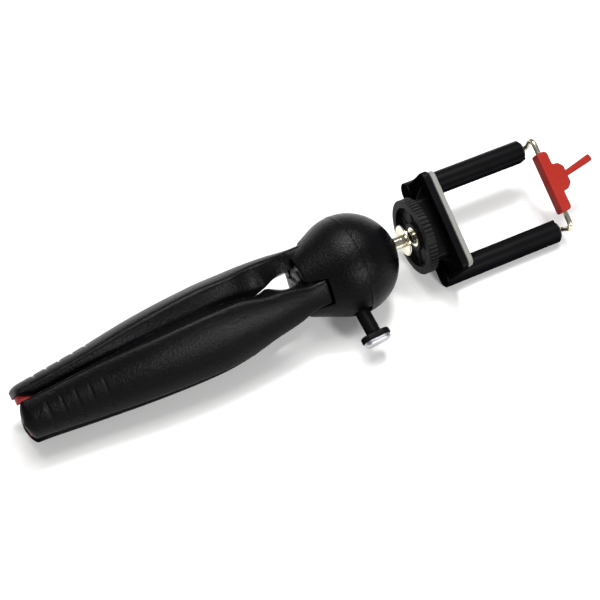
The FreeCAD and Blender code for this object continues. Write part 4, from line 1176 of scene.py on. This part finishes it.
class TRIPOD_OT_make_clamp(Operator):
    """Make the clamp base, its pad and the two tubes with their springs"""
    bl_idname = "tripod.make_clamp"
    bl_label = "Make the clamp"

    def execute(self, context):
        place, body = clamp_frame(), "clamp_body"
        add_piece("clamp_base_shell", base_mesh(), place, "clamp", body, ["clamp_base"])
        half = SHELF_LENGTH / 2 - 1.0
        sides = (-half, half, TUBE_Z + TUBE_RADIUS + 0.35, SHELF_FRONT + 1.0)
        pad = soft_box("pad", sides, [0.5, 0.5, SHELF_CORNER, SHELF_CORNER], SHELF_BACK,
                       SHELF_BACK + PAD_THICKNESS, 0.2, 6, top_rounding=0.6)
        add_piece("base_pad_shell", pad, place, "pad", body, ["base_pad"])
        length = SPRING_TO - SPRING_FROM
        for side, name in ((1, "left"), (-1, "right")):
            tube = tube_mesh(side)
            add_piece("clamp_tube_shell_" + name, tube, place, "clamp", body, ["clamp_tube_" + name])
            spring = grown(bpy.data.meshes.new("spring"), coil, coil_radius=SPRING_RADIUS,
                           turns=float(context.scene.tripod_sizes.spring_turns), wire_radius=SPRING_WIRE,
                           length=length - 2 * SPRING_WIRE, start=SPRING_FROM + SPRING_WIRE,
                           material=finishes()["steel"])
            spring.transform(shifted(0, side * TUBE_Y, TUBE_Z))
            piece = add_piece("clamp_spring_coil_" + name, spring, place, "steel", body,
                              ["clamp_spring_" + name], 60, False)
            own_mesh(piece)
        return {"FINISHED"}


class TRIPOD_OT_make_bow(Operator):
    """Make the bent wire of the clamp"""
    bl_idname = "tripod.make_bow"
    bl_label = "Make the wire bow"

    def execute(self, context):
        points = [Vector((STOP_X, TUBE_Y, TUBE_Z)), Vector((BOW_X, TUBE_Y, TUBE_Z)),
                  Vector((BOW_X, TUBE_Y + BOW_SPREAD, BOW_Z))]
        points += [Vector((point.x, -point.y, point.z)) for point in reversed(points)]
        wire = swept("wire", bent_path(points, BEND_RADIUS), WIRE_RADIUS)
        add_piece("wire_bow_shell", wire, clamp_frame(), "steel", "bow_body", ["wire_bow"], 60, False)
        return {"FINISHED"}


class TRIPOD_OT_make_jaw(Operator):
    """Make the red jaw with its boss and finger tab"""
    bl_idname = "tripod.make_jaw"
    bl_label = "Make the jaw"

    def execute(self, context):
        back, front, crest = BOW_X + JAW_REACH, BOW_X - JAW_REACH, BOW_X + 7.5
        low, high, slope = BOSS_OFFSET - BOSS_HALF, BOSS_OFFSET + BOSS_HALF, 2.3
        corners = [(front, -JAW_HALF), (back, -JAW_HALF), (back, low), (crest - slope, low),
                   (crest, low + slope), (crest, high - slope), (crest - slope, high), (back, high),
                   (back, JAW_HALF), (front, JAW_HALF)]
        outline = rounded(corners, [1.0, 2.2, 0.9, 0.9, 0.9, 0.9, 0.9, 0.9, 2.2, 1.0])
        bar = soft_prism("bar", outline, BOW_Z - JAW_DEPTH, BOW_Z + JAW_DEPTH, 0.7, along_z)
        tab_corners = [(0.0, -1.3), (TAB_LENGTH, -1.75), (TAB_LENGTH, 1.75), (0.0, 1.3)]
        tab = soft_prism("tab", rounded(tab_corners, [0.2, 1.2, 1.2, 0.2], 5), -3.0, 3.0, 0.5, along_z)
        tab.transform(shifted(crest - 2.6, BOSS_OFFSET, BOW_Z) @ turned(TAB_TURN, "Z"))
        jaw = joined("jaw", [bar, tab])
        jaw.transform(shifted(0, JAW_OFFSET, 0))
        add_piece("jaw_shell", jaw, clamp_frame(), "jaw", "jaw_body", ["jaw"])
        return {"FINISHED"}


class TRIPOD_OT_dress_solids(Operator):
    """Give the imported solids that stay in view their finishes"""
    bl_idname = "tripod.dress_solids"
    bl_label = "Dress the packed solids"

    def execute(self, context):
        made = finishes()
        wear = {
            "hub": ["hub_plate", "hub_screw"],
            "body": ["body_housing", "head_cap", "leg_1", "leg_2", "leg_3"],
            "sole": ["foot_sole_1", "foot_sole_2", "foot_sole_3"],
            "steel": ["hinge_pin_1", "hinge_pin_2", "hinge_pin_3", "lock_screw", "rod_stop_left",
                      "rod_stop_right", "clamp_spring_left", "clamp_spring_right", "wire_bow"],
            "brass": ["plunger", "thread_insert"],
            "nylon": ["ball_seat"],
            "bush": ["tube_bush_left", "tube_bush_right"],
            "clamp": ["clamp_base", "clamp_tube_left", "clamp_tube_right", "knob_handle"],
            "wheel": ["lock_wheel"],
            "pad": ["base_pad"],
            "jaw": ["jaw"],
            "chrome": ["ball_stud", "wheel_insert"],
            "cap": ["knob_cap"],
        }
        for finish, names in wear.items():
            for name in names:
                node = frame["nodes"][name]
                if not node.material_slots:
                    node.data.materials.append(None)
                for slot in node.material_slots:
                    slot.material = made[finish]
        return {"FINISHED"}


# Stage
def table_material():
    """Pale table: it takes the object's shadow, and its own light only lifts it to white in the picture."""
    material = bpy.data.materials.new("Pale table")
    work = cleared(material)
    place = work.add("ShaderNodeTexCoord").outputs["Object"]
    grain = work.add("ShaderNodeTexNoise", {"Vector": place, "Scale": 60.0, "Detail": 2.0})
    base = mixed(work, grain.outputs["Fac"], (0.79, 0.79, 0.785, 1.0), (0.81, 0.81, 0.8, 1.0))
    inputs = {"Base Color": base, "Roughness": 0.9, "Specular IOR Level": 0.0}
    shader = work.add("ShaderNodeBsdfPrincipled", inputs)
    path = work.add("ShaderNodeLightPath").outputs
    seen = work.math("MAXIMUM", path["Is Camera Ray"], path["Is Glossy Ray"])
    seen = work.math("MAXIMUM", seen, path["Is Transmission Ray"])
    reach = work.add("ShaderNodeVectorMath", {0: place}, operation="LENGTH").outputs["Value"]
    far = work.product(ranged(work, reach, 0.0, 1.0), path["Is Camera Ray"])
    lift = work.math("ADD", work.product(seen, TABLE_LIFT), far)
    glow = work.add("ShaderNodeEmission", {"Color": WHITE, "Strength": lift})
    both = work.add("ShaderNodeAddShader", {0: shader, 1: glow})
    work.add("ShaderNodeOutputMaterial", {"Surface": both})
    return material


def room(strength):
    """Even white light all round, which the camera sees as white."""
    world = bpy.data.worlds.new("Room")
    bpy.context.scene.world = world
    work = cleared(world)
    seen = work.add("ShaderNodeLightPath").outputs["Is Camera Ray"]
    level = work.math("ADD", work.product(seen, 1.0 - strength), strength)
    light = work.add("ShaderNodeBackground", {"Color": WHITE, "Strength": level})
    work.add("ShaderNodeOutputWorld", {"Surface": light})


def soft_light(name, direction, size, power):
    """A round light that faces the head from a direction."""
    data = bpy.data.lights.new(name, "AREA")
    data.shape = "DISK"
    data.size = size
    data.energy = power
    light = linked(name, data)
    towards = Vector(direction).normalized()
    light.location = body_frame().translation + towards * LIGHT_DISTANCE
    light.rotation_euler = towards.to_track_quat("Z", "Y").to_euler()


def picture_camera(stage):
    """The camera at the photograph's angle, moved sideways so that the head lies right of the middle."""
    azimuth, elevation = stage.camera_azimuth, stage.camera_elevation
    flat = math.cos(elevation)
    back = Vector((math.sin(azimuth) * flat, -math.cos(azimuth) * flat, math.sin(elevation)))
    right = Vector((math.cos(azimuth), math.sin(azimuth), 0.0))
    up = back.cross(right)
    image_width, focal = 600, 1310.0
    head_column, head_row = 347.0, 265.0
    distance = stage.camera_distance
    data = bpy.data.cameras.new("Camera")
    data.sensor_width = 36.0
    data.lens = focal / image_width * data.sensor_width
    data.clip_start = 0.01
    data.clip_end = 20.0
    camera = linked("Camera", data)
    aside = (head_column - image_width / 2) / focal * distance
    above = (image_width / 2 - head_row) / focal * distance
    camera.location = body_frame().translation + back * distance - right * aside - up * above
    camera.rotation_euler = back.to_track_quat("Z", "Y").to_euler()
    bpy.context.scene.camera = camera


class TRIPOD_OT_make_stage(Operator):
    """Make the table, the lights and the camera"""
    bl_idname = "tripod.make_stage"
    bl_label = "Make the stage"

    def execute(self, context):
        stage = context.scene.tripod_stage
        mesh = bpy.data.meshes.new("table")
        corners = rectangle(-TABLE_REACH, TABLE_REACH, -TABLE_REACH, TABLE_REACH)
        mesh.from_pydata([(*corner, 0) for corner in corners], [], [(0, 1, 2, 3)])
        mesh.materials.append(table_material())
        table = linked("table", mesh)
        room(stage.world_strength)
        soft_light("key_light", (0.0, 0.24, 0.97), WIDE_LIGHT, stage.key_power)
        soft_light("small_light", (0.25, 0.24, 0.94), SMALL_LIGHT, stage.small_power)
        soft_light("front_light", (0.13, -0.88, 0.46), SMALL_LIGHT, stage.front_power)
        picture_camera(stage)
        context.scene.view_settings.view_transform = "Standard"
        return {"FINISHED"}


class TRIPOD_PT_steps(Panel):
    """The steps that dress the tripod, in their order"""
    bl_idname = "TRIPOD_PT_steps"
    bl_label = "Mini tripod"
    bl_space_type = "VIEW_3D"
    bl_region_type = "UI"
    bl_category = "Mini tripod"

    def draw(self, context):
        for group in GROUPS:
            settings = getattr(context.scene, group)
            column = self.layout.column()
            for key in settings.bl_rna.properties.keys():
                if key not in ("rna_type", "name"):
                    column.prop(settings, key)
        for step in STEPS:
            self.layout.operator(step.bl_idname)


GROUPS = {"tripod_sizes": TripodSizes, "tripod_finishes": TripodFinishes, "tripod_stage": TripodStage}
STEPS = (TRIPOD_OT_make_head, TRIPOD_OT_make_legs, TRIPOD_OT_make_knob, TRIPOD_OT_make_stud,
         TRIPOD_OT_make_wheel, TRIPOD_OT_make_clamp, TRIPOD_OT_make_bow, TRIPOD_OT_make_jaw,
         TRIPOD_OT_dress_solids, TRIPOD_OT_make_stage)


def register():
    for entry in (*GROUPS.values(), *STEPS, TRIPOD_PT_steps):
        bpy.utils.register_class(entry)
    for name, entry in GROUPS.items():
        setattr(bpy.types.Scene, name, PointerProperty(type=entry))


def unregister():
    for name in GROUPS:
        delattr(bpy.types.Scene, name)
    for entry in reversed((*GROUPS.values(), *STEPS, TRIPOD_PT_steps)):
        bpy.utils.unregister_class(entry)


def main():
    """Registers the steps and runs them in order."""
    register()
    bpy.ops.tripod.make_head()
    bpy.ops.tripod.make_legs()
    bpy.ops.tripod.make_knob()
    bpy.ops.tripod.make_stud()
    bpy.ops.tripod.make_wheel()
    bpy.ops.tripod.make_clamp()
    bpy.ops.tripod.make_bow()
    bpy.ops.tripod.make_jaw()
    bpy.ops.tripod.dress_solids()
    bpy.ops.tripod.make_stage()


if __name__ == "__main__":
    main()
